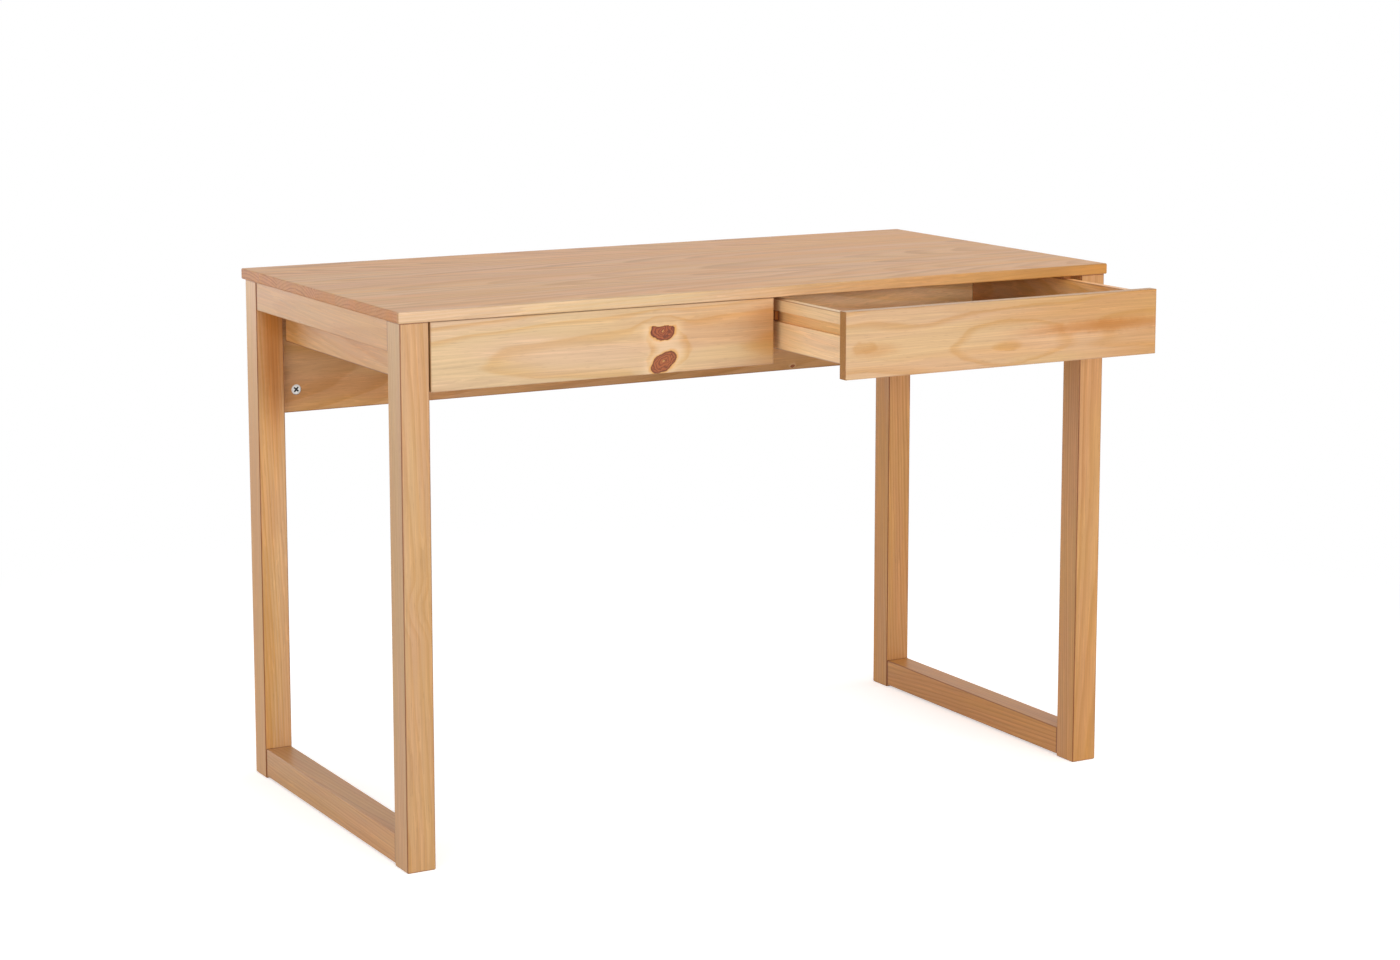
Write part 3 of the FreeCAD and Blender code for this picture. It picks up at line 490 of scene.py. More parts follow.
def make_figure_group(pine):
    """Growth rings round a drifting heart, with fibres, pores, end grain and toned edges."""
    add = node_adder(new_group("PineFigure", FIGURE_INPUTS, FIGURE_OUTPUTS))
    source = add("NodeGroupInput").outputs
    seed = add(VECTOR, {0: SEED_STEP, "Scale": source["Seed"]}, operation="SCALE")
    shifted = add(VECTOR, {0: source["Grain"], 1: seed}, operation="ADD")

    # The log isn't straight: its heart drifts, and the rings wander and ripple round it
    along = add(AXES, {0: source["Grain"]}).outputs["X"]
    drift = add(VECTOR, {0: source["Drift"], "Scale": along}, operation="SCALE")
    centred = add(VECTOR, {0: source["Grain"], 1: source["Heart"]}, operation="SUBTRACT")
    centred = add(VECTOR, {0: centred, 1: drift}, operation="SUBTRACT")
    for size, depth in ((WANDER_MM, source["Wander"]), (RIPPLE_MM, RIPPLE_DEPTH_MM / 1000)):
        place = add(VECTOR, {0: shifted, 1: stretched(*size)}, operation="MULTIPLY")
        cloud = add(NOISE, {"Vector": place, "Scale": 1.0, "Detail": 1.0})
        push = add(VECTOR, {0: cloud.outputs["Color"], 1: MIDDLE}, operation="SUBTRACT")
        push = add(VECTOR, {0: push, "Scale": depth}, operation="SCALE")
        push = add(VECTOR, {0: push, 1: WANDER_PUSH}, operation="MULTIPLY")
        centred = add(VECTOR, {0: centred, 1: push}, operation="ADD")

    # Rings: how many lie between the heart and this point, with uneven widths
    cross = add(VECTOR, {0: centred, 1: ACROSS_GRAIN}, operation="MULTIPLY")
    radius = add(VECTOR, {0: cross}, operation="LENGTH")
    radius = add(MATH, {0: radius, 1: source["Bulge"]}, operation="ADD")
    rings = add(MATH, {0: radius, 1: source["Ring Width"]}, operation="DIVIDE")
    seasons = add(MATH, {0: rings, 1: source["Seed"]}, operation="ADD")
    spell = add(NOISE, {"W": seasons, "Scale": SPELL_SCALE, "Detail": 1.0}, noise_dimensions="1D")
    rings = add(MATH, {0: spell, 1: SPELL_SHIFT, 2: rings}, operation="MULTIPLY_ADD")
    part = add(MATH, {0: rings}, operation="FRACT")
    year = add(MATH, {0: rings}, operation="FLOOR")
    year = add(MATH, {0: year, 1: source["Seed"]}, operation="ADD")
    vigour = add(CHANCE, {"W": year}, noise_dimensions="1D")
    vigour = add(RANGE, {"Value": vigour.outputs["Value"], **VIGOUR})
    rise = add(RANGE, {"Value": part, "From Min": source["Late"], "From Max": DENSEST}, **SMOOTH)
    stop = add(RANGE, {"Value": part, "From Min": 1.0, "From Max": DENSEST}, **SMOOTH)
    late = add(MATH, {0: rise, 1: stop}, operation="MULTIPLY")
    late = add(MATH, {0: late, 1: vigour}, operation="MULTIPLY")

    # Fibres, streaks, pores and resin clouds follow the wandering grain
    lengthwise = add(VECTOR, {0: centred, 1: seed}, operation="ADD")
    pattern = {}
    for name, (length, width, detail) in PATTERNS.items():
        place = add(VECTOR, {0: lengthwise, 1: stretched(length, width)}, operation="MULTIPLY")
        pattern[name] = add(NOISE, {"Vector": place, "Scale": 1.0, "Detail": detail})
    pores = add(RANGE, {"Value": pattern["pore"], **PORE_SPAN}, **SMOOTH)
    resin = add(RANGE, {"Value": pattern["cloud"], **CLOUD_SPAN}, **SMOOTH)

    # Colour, from pale early wood to dense late wood, with amber clouds and rosy or golden patches
    early = add(MIX, {0: source["Depth"], UNDER: (*pine.pale_early, 1), OVER: (*pine.deep_early, 1)}, **BLEND)
    dense = add(MIX, {0: source["Depth"], UNDER: (*pine.pale_late, 1), OVER: (*pine.deep_late, 1)}, **BLEND)
    share = add(MATH, {0: late, 1: source["Contrast"]}, operation="MULTIPLY")
    colour = add(MIX, {0: share, UNDER: early, OVER: dense}, **BLEND)
    share = add(MATH, {0: resin, 1: source["Warmth"]}, operation="MULTIPLY")
    ripe = add(AXES, {0: source["Board"]}).outputs["X"]
    ripe = add(MATH, {0: ripe, 1: source["Ripe From"]}, operation="SUBTRACT")
    share = add(MATH, {0: ripe, 1: source["Ripen"], 2: share}, operation="MULTIPLY_ADD", use_clamp=True)
    colour = add(MIX, {0: share, UNDER: colour, OVER: (*pine.amber, 1)}, **BLEND)
    blush = add(RANGE, {"Value": pattern["blush"], **BLUSH_SPAN}, **SMOOTH)
    tint = add(MIX, {0: blush, UNDER: (*pine.rosy, 1), OVER: (*pine.golden, 1)}, **BLEND)
    colour = add(MIX, {0: 1.0, UNDER: colour, OVER: tint}, **GLAZE)

    # Light and dark lines along the grain
    thread = add(MATH, {0: pattern["thread"], 1: NOISE_MIDDLE, 2: THREAD_HALF}, operation="COMPARE")
    factors = [
        add(RANGE, {"Value": pattern[name], **LIGHT_SPAN, "To Min": dark, "To Max": bright})
        for name, (dark, bright) in LIGHTS.items()
    ]
    factors.append(add(RANGE, {"Value": thread, "To Min": 1.0, "To Max": THREAD_LIGHT}))
    factors.append(add(RANGE, {"Value": pores, "To Min": 1.0, "To Max": PORE_LIGHT}))
    light = source["Tone"]
    for factor in factors:
        light = add(MATH, {0: light, 1: factor}, operation="MULTIPLY")
    colour = add(VECTOR, {0: colour, "Scale": light}, operation="SCALE")

    # End grain takes more lacquer and looks darker and redder
    facing = add(MATH, {0: source["End"]}, operation="ABSOLUTE")
    cut = add(RANGE, {"Value": facing, **END_SPAN}, **SMOOTH)
    share = add(MATH, {0: cut, 1: source["Stain"]}, operation="MULTIPLY")
    colour = add(MIX, {0: share, UNDER: colour, OVER: (*pine.end_grain, 1)}, **GLAZE)

    # A point that lies deep under all of the board's faces is in a groove or bore, and is darkened there as
    # painted shade
    away = add(VECTOR, {0: source["Board"]}, operation="ABSOLUTE")
    away = add(VECTOR, {0: source["Half Size"], 1: away}, operation="SUBTRACT")
    away = add(AXES, {0: away}).outputs
    nearer = add(MATH, {0: away["X"], 1: away["Y"]}, operation="MINIMUM")
    farther = add(MATH, {0: away["X"], 1: away["Y"]}, operation="MAXIMUM")
    nearest = add(MATH, {0: nearer, 1: away["Z"]}, operation="MINIMUM")
    sunk = add(RANGE, {"Value": nearest, **RECESS_SHADE_SPAN}, **SMOOTH)
    colour = add(MIX, {0: sunk, UNDER: colour, OVER: (*pine.recess, 1)}, **GLAZE)

    # Edges: the second smallest distance to the board's three pairs of faces
    farther = add(MATH, {0: farther, 1: away["Z"]}, operation="MINIMUM")
    edge = add(MATH, {0: nearer, 1: farther}, operation="MAXIMUM")
    worn = {0: pattern["fibre"], 1: pine.arris_width, 2: pine.arris_width / 2}
    worn = add(MATH, worn, operation="MULTIPLY_ADD")
    edge = add(RANGE, {"Value": edge, "From Min": worn, "From Max": 0.0, "To Max": source["Arris"]}, **SMOOTH)
    butted = {"From Min": 2 * pine.arris_width, "From Max": 0.0, "To Max": source["Joint"]}
    butted = add(RANGE, {"Value": away["X"], **butted}, **SMOOTH)
    edge = add(MATH, {0: edge, 1: butted}, operation="MAXIMUM")
    colour = add(MIX, {0: edge, UNDER: colour, OVER: (*pine.arris, 1)}, **GLAZE)

    # Satin lacquer lies unevenly on the fibres, rougher on end grain, and shows them as faint relief
    rough = add(RANGE, {"Value": pattern["fibre"], **GLOSS})
    rough = add(MATH, {0: cut, 1: END_ROUGHER, 2: rough}, operation="MULTIPLY_ADD")
    relief = add(MATH, {0: late, 1: LATE_RELIEF, 2: pattern["fibre"]}, operation="MULTIPLY_ADD")
    relief = add(MATH, {0: relief, 1: pores}, operation="SUBTRACT")
    add("NodeGroupOutput", {"Color": colour, "Roughness": rough, "Height": relief})


def make_knot_group(pine):
    """A knot through the board's thickness: ringed heart, bark rim, and a bulge that bends the grain."""
    add = node_adder(new_group("PineKnot", KNOT_INPUTS, KNOT_OUTPUTS))
    source = add("NodeGroupInput").outputs
    offset = add(VECTOR, {0: source["Board"], 1: source["Place"]}, operation="SUBTRACT")
    flat = add(VECTOR, {0: offset, 1: IN_FACE}, operation="MULTIPLY")
    ragged = add(NOISE, {"Vector": source["Board"], "Scale": 1000 / RAGGED_MM, "Detail": 2.0})
    push = add(VECTOR, {0: ragged.outputs["Color"], 1: MIDDLE}, operation="SUBTRACT")
    push = add(VECTOR, {0: push, 1: RAGGED_PUSH}, operation="MULTIPLY")
    flat = add(VECTOR, {0: flat, 1: push}, operation="ADD")
    turned = add("ShaderNodeVectorRotate", {"Vector": flat, "Angle": source["Turn"]}, rotation_type="Y_AXIS")
    scaled = add(VECTOR, {0: turned, 1: source["Half Size"]}, operation="DIVIDE")
    reach = add(VECTOR, {0: scaled}, operation="LENGTH")
    height = add(AXES, {0: flat}).outputs["Z"]
    over = add(MATH, {0: height, 1: source["Flat Top"]}, operation="SUBTRACT")
    over = add(MATH, {0: over, 1: FLAT_TOP_EDGE, 2: 1.0}, operation="MULTIPLY_ADD")
    shape = add(MATH, {0: reach, 1: over}, operation="MAXIMUM")

    # Resin soaks the wood amber; on some boards the same amber is painted shade
    soak = add(RANGE, {"Value": reach, **RESIN_SPAN, "To Max": source["Resin"]}, **SMOOTH)
    amber = [deep / pale for deep, pale in zip(pine.amber, pine.pale_early)]
    colour = add(MIX, {0: soak, UNDER: source["Wood"], OVER: (*amber, 1)}, **GLAZE)

    # Rings of its own inside, from a lighter pith to the dark rim
    wave = add(MATH, {0: ragged, 1: HEART_WAVER, 2: reach}, operation="MULTIPLY_ADD")
    wave = add(MATH, {0: wave, 1: HEART_RINGS * math.tau}, operation="MULTIPLY")
    wave = add(MATH, {0: wave}, operation="SINE")
    wave = add(RANGE, {"Value": wave, **HEART_SPAN}, **SMOOTH)
    heart = add(MIX, {0: wave, UNDER: (*pine.knot_heart, 1), OVER: (*pine.knot_rim, 1)}, **BLEND)
    pith = add(RANGE, {"Value": reach, **PITH_SPAN}, **SMOOTH)
    heart = add(MIX, {0: pith, UNDER: heart, OVER: (*pine.pale_late, 1)}, **BLEND)
    rim = add(RANGE, {"Value": shape, **RIM_SPAN}, **SMOOTH)
    heart = add(MIX, {0: rim, UNDER: heart, OVER: (*pine.knot_rim, 1)}, **BLEND)

    # Pale wood closes round the knot, with a thin warm fringe at the bark
    layers = ((HALO_SPAN, (*pine.knot_halo, 1)), (FRINGE_SPAN, (*pine.amber, 1)), (INSIDE_SPAN, heart))
    for span, layer in layers:
        share = add(RANGE, {"Value": shape, **span}, **SMOOTH)
        share = add(MATH, {0: share, 1: source["Core"]}, operation="MULTIPLY")
        colour = add(MIX, {0: share, UNDER: colour, OVER: layer}, **BLEND)

    bend = {"Value": reach, **BEND_SPAN, "To Max": source["Swell"]}
    bend = add(RANGE, bend, interpolation_type="SMOOTHERSTEP")
    add("NodeGroupOutput", {"Color": colour, "Bulge": bend})


PINE_GROUPS = {"PineFigure": make_figure_group, "PineKnot": make_knot_group}


def pine_group(name):
    """A node group of the pine, made when it is first asked for."""
    if name not in bpy.data.node_groups:
        PINE_GROUPS[name](bpy.context.scene.pine_look)
    return bpy.data.node_groups[name]


def new_material(name):
    """An empty node material, and the function that adds its nodes."""
    material = bpy.data.materials.new(name)
    material.use_nodes = True
    material.node_tree.nodes.clear()
    return material, node_adder(material.node_tree)


def dress(node_name, material):
    """Give a CAD part its material."""
    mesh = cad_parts[node_name].data
    mesh.materials.clear()
    mesh.materials.append(material)


def board_axes(add, node_name, grain):
    """A board's own coordinates, its half sizes, and how far each face looks along the grain."""
    low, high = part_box(node_name)
    turn = Matrix.Rotation(TURNS[grain][2], 3, "Z") @ Matrix.Rotation(TURNS[grain][1], 3, "Y")
    centre = turn @ ((low + high) / 2)
    half = turn @ ((high - low) / 2)
    place = add(PLACE).outputs["Object"]
    board = add("ShaderNodeMapping", {"Vector": place, "Location": -centre, "Rotation": TURNS[grain]})
    normal = add("ShaderNodeNewGeometry").outputs["Normal"]
    end = add(AXES, {0: normal}).outputs[grain]
    return board.outputs[0], [abs(size) for size in half], end


def sawn(board):
    """How a board was sawn, as inputs of its figure."""
    return {
        "Heart": mm(0, *board.heart_mm), "Drift": (0.0, *board.drift),
        "Ring Width": board.ring_mm / 1000, "Wander": board.wander_mm / 1000,
        "Contrast": board.contrast, "Warmth": board.warmth, "Depth": board.depth, "Tone": board.tone,
        "Late": board.late, "Ripen": board.ripen, "Ripe From": board.ripe_from_mm / 1000,
        "Arris": board.arris, "Joint": board.joint, "Stain": board.stain,
    }


def lacquer(add, figure, colour):
    """Satin clear lacquer over the wood: a soft main gloss under a thin, smoother coat."""
    relief = {"Height": figure.outputs["Height"], "Strength": 0.12, "Distance": 0.0004}
    shader = add(SHADER, {
        "Base Color": colour,
        "Roughness": figure.outputs["Roughness"],
        "Normal": add("ShaderNodeBump", relief),
        "IOR": 1.38,
        "Coat Weight": 0.08,
        "Coat Roughness": 0.22,
        "Coat IOR": 1.5,
    })
    add(SURFACE, {"Surface": shader})


def place_knot(add, place, knot):
    """Set a knot in a board; one copy bends the rings and another lays its colour over them."""
    return add(GROUP, {
        "Board": place,
        "Place": mm(knot.place_mm[0], 0, knot.place_mm[1]),
        "Turn": math.radians(knot.turn),
        "Half Size": (*mm(knot.half_mm[0]), 1.0, *mm(knot.half_mm[1])),
        "Flat Top": knot.flat_top_mm / 1000,
        "Swell": knot.bulge_mm / 1000,
        "Core": knot.core,
        "Resin": knot.resin,
    }, node_tree=pine_group("PineKnot"))


def finish_boards(boards):
    """Lacquered pine, planed and sanded: pale wood crossed by amber rings, each board from its own log."""
    for node_name, board in boards.items():
        material, add = new_material("lacquered_pine_" + node_name)
        place, half, end = board_axes(add, node_name, board.grain)
        knots = KNOTS.get(node_name, [])
        bulge = 0.0
        for knot in knots:
            bend = place_knot(add, place, knot).outputs["Bulge"]
            bulge = add(MATH, {0: bulge, 1: bend}, operation="ADD")
        figure = add(GROUP, {
            **sawn(board), "Grain": place, "Board": place, "Half Size": half, "End": end,
            "Bulge": bulge, "Seed": SEEDS[node_name],
        }, node_tree=pine_group("PineFigure"))
        colour = figure.outputs["Color"]
        for knot in knots:
            group = place_knot(add, place, knot)
            material.node_tree.links.new(colour, group.inputs["Wood"])
            colour = group.outputs["Color"]
        lacquer(add, figure, colour)
        dress(node_name, material)


def bright_metal(name, colour, smooth, rough):
    """Metal with soft blotches, which change both its brightness and its gloss."""
    material, add = new_material(name)
    place = add(PLACE).outputs["Object"]
    blotch = add(NOISE, {"Vector": place, "Scale": 1000 / BLOTCH_MM, "Detail": 3.0})
    light = add(RANGE, {"Value": blotch, **BLOTCH_LIGHT})
    tint = add(VECTOR, {0: tuple(colour), "Scale": light}, operation="SCALE")
    gloss = add(RANGE, {"Value": blotch, "To Min": smooth, "To Max": rough})
    shader = add(SHADER, {"Base Color": tint, "Roughness": gloss, "Metallic": 1.0})
    add(SURFACE, {"Surface": shader})
    return material


class DESK_OT_desktop(bpy.types.Operator):
    """Give the edge-glued top its staves"""

    bl_idname = "desk.desktop"
    bl_label = "Finish Desktop"

    def execute(self, context):
        width = context.scene.pine_look.stave_width
        # Lacquered pine staves, glued edge to edge: each shows another figure, a shade lighter or deeper
        material, add = new_material("lacquered_pine_staves")
        place, half, end = board_axes(add, "desktop", DESKTOP.grain)
        axes = add(AXES, {0: place}).outputs
        count = add(MATH, {0: axes["Y"], 1: width}, operation="DIVIDE")
        stave = add(MATH, {0: count}, operation="FLOOR")
        chance = add(CHANCE, {"W": stave}, noise_dimensions="1D").outputs
        throw = add(VECTOR, {0: chance["Color"], 1: MIDDLE}, operation="SUBTRACT")
        throw = add(VECTOR, {0: throw, 1: STAVE_THROW}, operation="MULTIPLY")
        middle = add(MATH, {0: stave, 1: 0.5}, operation="ADD")
        middle = add(MATH, {0: middle, 1: width}, operation="MULTIPLY")
        middle = add("ShaderNodeCombineXYZ", {"Y": middle})
        grain = add(VECTOR, {0: place, 1: middle}, operation="SUBTRACT")
        grain = add(VECTOR, {0: grain, 1: throw}, operation="ADD")

        # The staves differ by chance, and the front strip by its place, with painted light over the open
        # drawer
        front = add(RANGE, {"Value": axes["Y"], **STRIP_Y})
        deep = add(RANGE, {"Value": chance["Value"], **STAVE_DEPTH})
        strip = add(RANGE, {"Value": axes["X"], **STRIP_DEPTH}, **SMOOTH)
        depth = add(MIX, {0: front, LESS: deep, MORE: strip})
        tone = add(RANGE, {"Value": chance["Value"], **STAVE_TONE})
        # Painted light: the strip is brighter round x = 0.2, over the open drawer that shades it
        aside = add(MATH, {0: axes["X"], 1: STRIP_PAINTED_LIGHT_X}, operation="SUBTRACT")
        aside = add(MATH, {0: aside}, operation="ABSOLUTE")
        lit = add(RANGE, {"Value": aside, **STRIP_PAINTED_LIGHT})
        tone = add(MIX, {0: front, LESS: tone, MORE: lit})
        looks = {
            name: add(RANGE, {"Value": front, "To Min": staves, "To Max": strip})
            for name, (staves, strip) in TOP_FIGURE.items()
        }
        figure = add(GROUP, {
            **sawn(DESKTOP), "Grain": grain, "Board": place, "Half Size": half, "End": end,
            "Bulge": 0.0, "Seed": stave, "Depth": depth, "Tone": tone, **looks,
        }, node_tree=pine_group("PineFigure"))
        lacquer(add, figure, figure.outputs["Color"])
        dress("desktop", material)
        return {"FINISHED"}


class DESK_OT_legs(bpy.types.Operator):
    """Give the four legs their sawn figure"""

    bl_idname = "desk.legs"
    bl_label = "Finish Legs"

    def execute(self, context):
        finish_boards(LEGS)
        return {"FINISHED"}


class DESK_OT_rails(bpy.types.Operator):
    """Give the rails between the legs their sawn figure"""

    bl_idname = "desk.rails"
    bl_label = "Finish Rails"

    def execute(self, context):
        finish_boards(RAILS)
        return {"FINISHED"}


class DESK_OT_panels(bpy.types.Operator):
    """Give the back panel, the side boards and the divider their sawn figure"""

    bl_idname = "desk.panels"
    bl_label = "Finish Panels"

    def execute(self, context):
        finish_boards(PANELS)
        return {"FINISHED"}


class DESK_OT_runners(bpy.types.Operator):
    """Give the drawer runners their sawn figure"""

    bl_idname = "desk.runners"
    bl_label = "Finish Runners"

    def execute(self, context):
        finish_boards(RUNNERS)
        return {"FINISHED"}


class DESK_OT_drawer_fronts(bpy.types.Operator):
    """Give the drawer fronts their sawn figure and their knots"""

    bl_idname = "desk.drawer_fronts"
    bl_label = "Finish Drawer Fronts"

    def execute(self, context):
        finish_boards(DRAWER_FRONTS)
        return {"FINISHED"}


class DESK_OT_drawer_boxes(bpy.types.Operator):
    """Give the sides and backs of the drawers their sawn figure"""

    bl_idname = "desk.drawer_boxes"
    bl_label = "Finish Drawer Boxes"

    def execute(self, context):
        finish_boards(DRAWER_BOXES)
        return {"FINISHED"}


class DESK_OT_bottoms(bpy.types.Operator):
    """Give the drawer bottoms their pressed fibre face"""

    bl_idname = "desk.bottoms"
    bl_label = "Finish Drawer Bottoms"

    def execute(self, context):
        look = context.scene.fitting_look
        # Hardboard: smooth, brown and faintly mottled, with short dark fibres, drawn coarse enough to show
        material, add = new_material("brown_hardboard")
        place = add(PLACE).outputs["Object"]
        mottle = add(NOISE, {"Vector": place, "Scale": 1000 / MOTTLE_MM, "Detail": 4.0})
        fibre = {"Vector": place, "Scale": 1000 / PRESSED_FIBRE_MM, "Detail": 2.0, "Distortion": 1.5}
        fibre = add(NOISE, fibre)
        light = add(MATH, {0: mottle, 1: fibre}, operation="ADD")
        light = add(RANGE, {"Value": light, **HARDBOARD_LIGHT})
        colour = add(VECTOR, {0: tuple(look.hardboard), "Scale": light}, operation="SCALE")
        rough = add(RANGE, {"Value": fibre, **HARDBOARD_GLOSS})
        bump = add("ShaderNodeBump", {"Height": fibre, "Strength": 0.15, "Distance": 0.0003})
        shader = add(SHADER, {"Base Color": colour, "Roughness": rough, "Normal": bump})
        add(SURFACE, {"Surface": shader})
        for side in ("left", "right"):
            dress(side + "_drawer_bottom", material)
        return {"FINISHED"}


class DESK_OT_cam_locks(bpy.types.Operator):
    """Cast the cam locks, with an eased rim, a ring groove and a turned cross recess"""

    bl_idname = "desk.cam_locks"
    bl_label = "Cast Cam Locks"

    def execute(self, context):
        look = context.scene.fitting_look
        low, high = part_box("cam_locks")
        radius = look.lock_diameter / 2
        depth = high.y - low.y
        locks = bmesh.new()

        # The drum, open at the land round its recess
        rim = [locks.verts.new((share * radius, sink * depth, 0.0)) for share, sink in LOCK_SECTION]
        line = [locks.edges.new(pair) for pair in zip(rim, rim[1:])]
        bmesh.ops.spin(
            locks, geom=rim + line, cent=(0, 0, 0), axis=(0, 1, 0), angle=math.tau, steps=LOCK_STEPS,
            use_merge=True)
        bmesh.ops.remove_doubles(locks, verts=locks.verts, dist=1e-6)
        land = [edge for edge in locks.edges if edge.is_boundary]

        # Four arms of the cross, turned as the lock was tightened
        half_arm, reach = look.recess_width / 2, look.recess_length / 2
        arm = [(half_arm, half_arm), (reach, half_arm), (reach, -half_arm)]
        face_y = LOCK_SECTION[0][1] * depth
        outline = []
        for quarter in range(4):
            turn = Matrix.Rotation(look.lock_turn + quarter * math.pi / 2, 3, "Y")
            outline += [locks.verts.new(turn @ Vector((x, face_y, z))) for x, z in arm]
        cross = [locks.edges.new(pair) for pair in zip(outline, outline[1:] + outline[:1])]
        bmesh.ops.triangle_fill(locks, use_beauty=True, edges=land + cross, normal=(0, -1, 0))

        # The recess tapers to its floor
        walls = bmesh.ops.extrude_edge_only(locks, edges=cross)["geom"]
        floor = [part for part in walls if isinstance(part, bmesh.types.BMVert)]
        ring = [
            part for part in walls
            if isinstance(part, bmesh.types.BMEdge) and set(part.verts) <= set(floor)
        ]
        sunk = bmesh.ops.contextual_create(locks, geom=ring)["faces"]
        bmesh.ops.scale(locks, verts=floor, vec=RECESS_TAPER)
        bmesh.ops.translate(locks, verts=floor, vec=(0.0, look.recess_depth, 0.0))
        # The recess faces take the second material, whose dark zinc is painted shade
        for face in sunk + [part for part in walls if isinstance(part, bmesh.types.BMFace)]:
            face.material_index = 1
        bmesh.ops.recalc_face_normals(locks, faces=locks.faces)
        for edge in locks.edges:
            edge.smooth = edge.calc_face_angle(0.0) < SHARP_EDGE
        for face in locks.faces:
            face.smooth = True

        # One lock at each corner of the node's box
        first = locks.verts[:] + locks.edges[:] + locks.faces[:]
        columns = (low.x + radius, high.x - radius)
        rows = (low.z + radius, high.z - radius)
        places = [(x, low.y, z) for x in columns for z in rows]
        copies = [bmesh.ops.duplicate(locks, geom=first)["geom"] for _ in places[1:]]
        for lock, place in zip((*copies, first), (*places[1:], places[0])):
            corners = [part for part in lock if isinstance(part, bmesh.types.BMVert)]
            bmesh.ops.translate(locks, verts=corners, vec=place)
        mesh = bpy.data.meshes.new("cam_lock_drums")
        locks.to_mesh(mesh)
        locks.free()
        drums = bpy.data.objects.new("cam_lock_drums", mesh)
        context.scene.collection.objects.link(drums)

        # Zinc straight from the die: bright, with soft blotches; the recess gets a dark, dull zinc as painted
        # shade
        mesh.materials.append(bright_metal("die_cast_zinc", look.zinc, smooth=0.22, rough=0.40))
        mesh.materials.append(bright_metal("casting_skin", look.skin, smooth=0.5, rough=0.7))
        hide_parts("cam_locks")
        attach(drums, "desk")
        return {"FINISHED"}


class DESK_OT_screws(bpy.types.Operator):
    """Give the screws and bolts their plated steel"""

    bl_idname = "desk.screws"
    bl_label = "Finish Screws"

    def execute(self, context):
        # Zinc-plated steel: bright and a little cold, with soft blotches
        steel = bright_metal("plated_steel", context.scene.fitting_look.steel, smooth=0.2, rough=0.4)
        for node_name in SCREWS:
            dress(node_name, steel)
        return {"FINISHED"}


class DESK_OT_dowels(bpy.types.Operator):
    """Give the dowels their beech"""

    bl_idname = "desk.dowels"
    bl_label = "Finish Dowels"

    def execute(self, context):
        # Beech, turned and left bare: even and pinkish, with short brown flecks
        material, add = new_material("beech_dowel")
        place = add(PLACE).outputs["Object"]
        fleck = add(NOISE, {"Vector": place, "Scale": 1000 / FLECK_MM, "Detail": 2.0})
        light = add(RANGE, {"Value": fleck, **FLECK_LIGHT})
        beech = tuple(context.scene.fitting_look.beech)
        tint = add(VECTOR, {0: beech, "Scale": light}, operation="SCALE")
        shader = add(SHADER, {"Base Color": tint, "Roughness": 0.6})
        add(SURFACE, {"Surface": shader})
        for node_name in DOWELS:
            dress(node_name, material)
        return {"FINISHED"}


def seen_rays(add):
    """1 where the stage itself is looked at, straight or in a reflection, and 0 where it only gives light."""
    rays = add("ShaderNodeLightPath").outputs
    seen = add(MATH, {0: rays["Is Camera Ray"], 1: rays["Is Glossy Ray"]}, operation="MAXIMUM")
    return add(MATH, {0: seen, 1: rays["Is Transmission Ray"]}, operation="MAXIMUM")


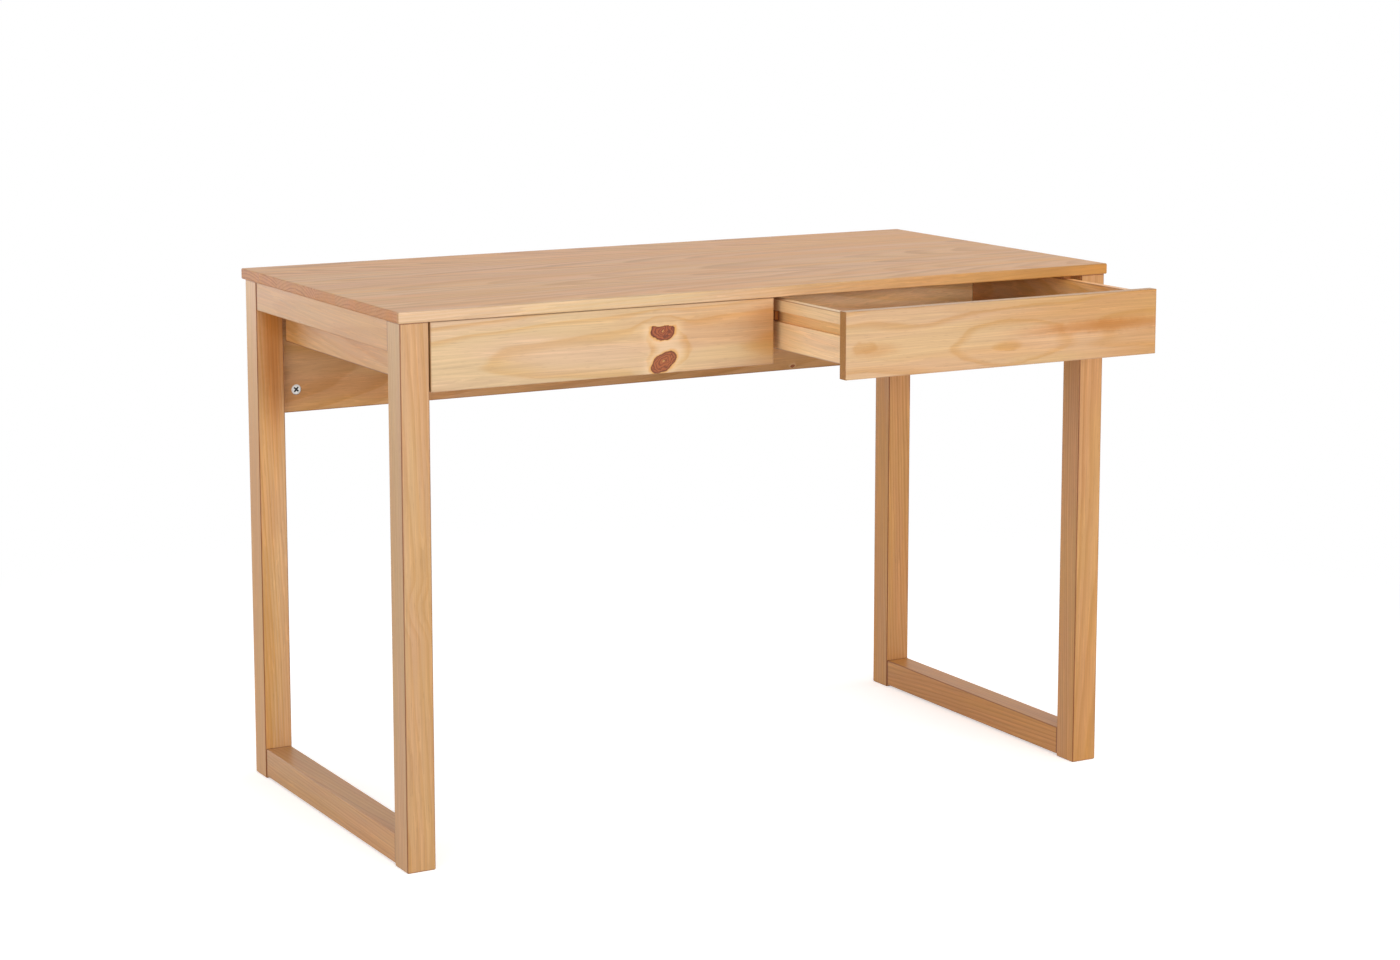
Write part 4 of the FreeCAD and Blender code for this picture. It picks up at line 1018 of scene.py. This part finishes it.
class DESK_OT_stage(bpy.types.Operator):
    """Set the floor, the lights and the camera"""

    bl_idname = "desk.stage"
    bl_label = "Set Stage"

    def execute(self, context):
        scene = context.scene
        look = scene.stage_look
        scene.view_settings.view_transform = "Standard"

        floor_mesh = bmesh.new()
        bmesh.ops.create_grid(floor_mesh, x_segments=1, y_segments=1, size=FLOOR_HALF)
        mesh = bpy.data.meshes.new("floor")
        floor_mesh.to_mesh(mesh)
        floor_mesh.free()
        floor = bpy.data.objects.new("floor", mesh)
        scene.collection.objects.link(floor)

        # Seamless white paper: matt, with a soft shadow under the desk, and plain white farther out
        material, add = new_material("seamless_paper")
        seen = seen_rays(add)
        paper = add("ShaderNodeBsdfDiffuse", {"Color": (*look.floor, 1)})
        lift = add(MATH, {0: seen, 1: look.floor_lift}, operation="MULTIPLY")
        glow = add("ShaderNodeEmission", {"Color": WHITE, "Strength": lift})
        near = add("ShaderNodeAddShader", {0: paper, 1: glow})
        white = add("ShaderNodeEmission", {"Color": WHITE, "Strength": 1.0})
        place = add(PLACE).outputs["Object"]
        away = add(VECTOR, {0: place}, operation="LENGTH")
        fade = add(RANGE, {"Value": away, **FLOOR_FADE}, **SMOOTH)
        fade = add(MATH, {0: fade, 1: seen}, operation="MULTIPLY")
        surface = add("ShaderNodeMixShader", {0: fade, 1: near, 2: white})
        add(SURFACE, {"Surface": surface})
        mesh.materials.append(material)

        world = bpy.data.worlds.new("studio")
        world.use_nodes = True
        world.node_tree.nodes.clear()
        add = node_adder(world.node_tree)
        soft = add("ShaderNodeBackground", {"Color": WHITE, "Strength": look.sky_strength})
        white = add("ShaderNodeBackground", {"Color": WHITE, "Strength": 1.0})
        sky = add("ShaderNodeMixShader", {0: seen_rays(add), 1: soft, 2: white})
        add("ShaderNodeOutputWorld", {"Surface": sky})
        scene.world = world

        for name, (place, size) in LAMPS.items():
            lamp = bpy.data.lights.new(name, "AREA")
            lamp.shape = "RECTANGLE"
            lamp.size, lamp.size_y = size
            lamp.energy = getattr(look, name + "_power")
            item = bpy.data.objects.new(name, lamp)
            item.location = place
            item.rotation_euler = (LAMP_AIM - Vector(place)).to_track_quat("-Z", "Y").to_euler()
            scene.collection.objects.link(item)

        lens = bpy.data.cameras.new("camera")
        lens.sensor_fit = "HORIZONTAL"
        lens.sensor_width = SENSOR_MM
        lens.lens = look.lens
        lens.shift_y = look.rise
        camera = bpy.data.objects.new("camera", lens)
        camera.location = CAMERA_PLACE
        camera.rotation_euler = (math.radians(90 - CAMERA_DOWN), 0.0, math.radians(-CAMERA_RIGHT))
        scene.collection.objects.link(camera)
        scene.camera = camera
        return {"FINISHED"}


OPERATORS = (
    DESK_OT_desktop, DESK_OT_legs, DESK_OT_rails, DESK_OT_panels, DESK_OT_runners, DESK_OT_drawer_fronts,
    DESK_OT_drawer_boxes, DESK_OT_bottoms, DESK_OT_cam_locks, DESK_OT_screws, DESK_OT_dowels, DESK_OT_stage,
)
LOOKS = {"pine_look": PineLook, "fitting_look": FittingLook, "stage_look": StageLook}


class DESK_PT_panel(bpy.types.Panel):
    """Lists the desk's steps and looks"""

    bl_idname = "DESK_PT_panel"
    bl_label = "Writing Desk"
    bl_space_type = "VIEW_3D"
    bl_region_type = "UI"
    bl_category = "Desk"

    def draw(self, context):
        for operator in OPERATORS:
            self.layout.operator(operator.bl_idname)
        for name, kind in LOOKS.items():
            box = self.layout.box()
            for prop in kind.__annotations__:
                box.prop(getattr(context.scene, name), prop)


def register():
    for kind in (*LOOKS.values(), *OPERATORS, DESK_PT_panel):
        bpy.utils.register_class(kind)
    for name, kind in LOOKS.items():
        setattr(bpy.types.Scene, name, PointerProperty(type=kind))


def unregister():
    for name in LOOKS:
        delattr(bpy.types.Scene, name)
    for kind in (DESK_PT_panel, *reversed(OPERATORS), *LOOKS.values()):
        bpy.utils.unregister_class(kind)


def main():
    register()
    for operator in OPERATORS:
        group, name = operator.bl_idname.split(".")
        getattr(getattr(bpy.ops, group), name)()


if __name__ == "__main__":
    main()
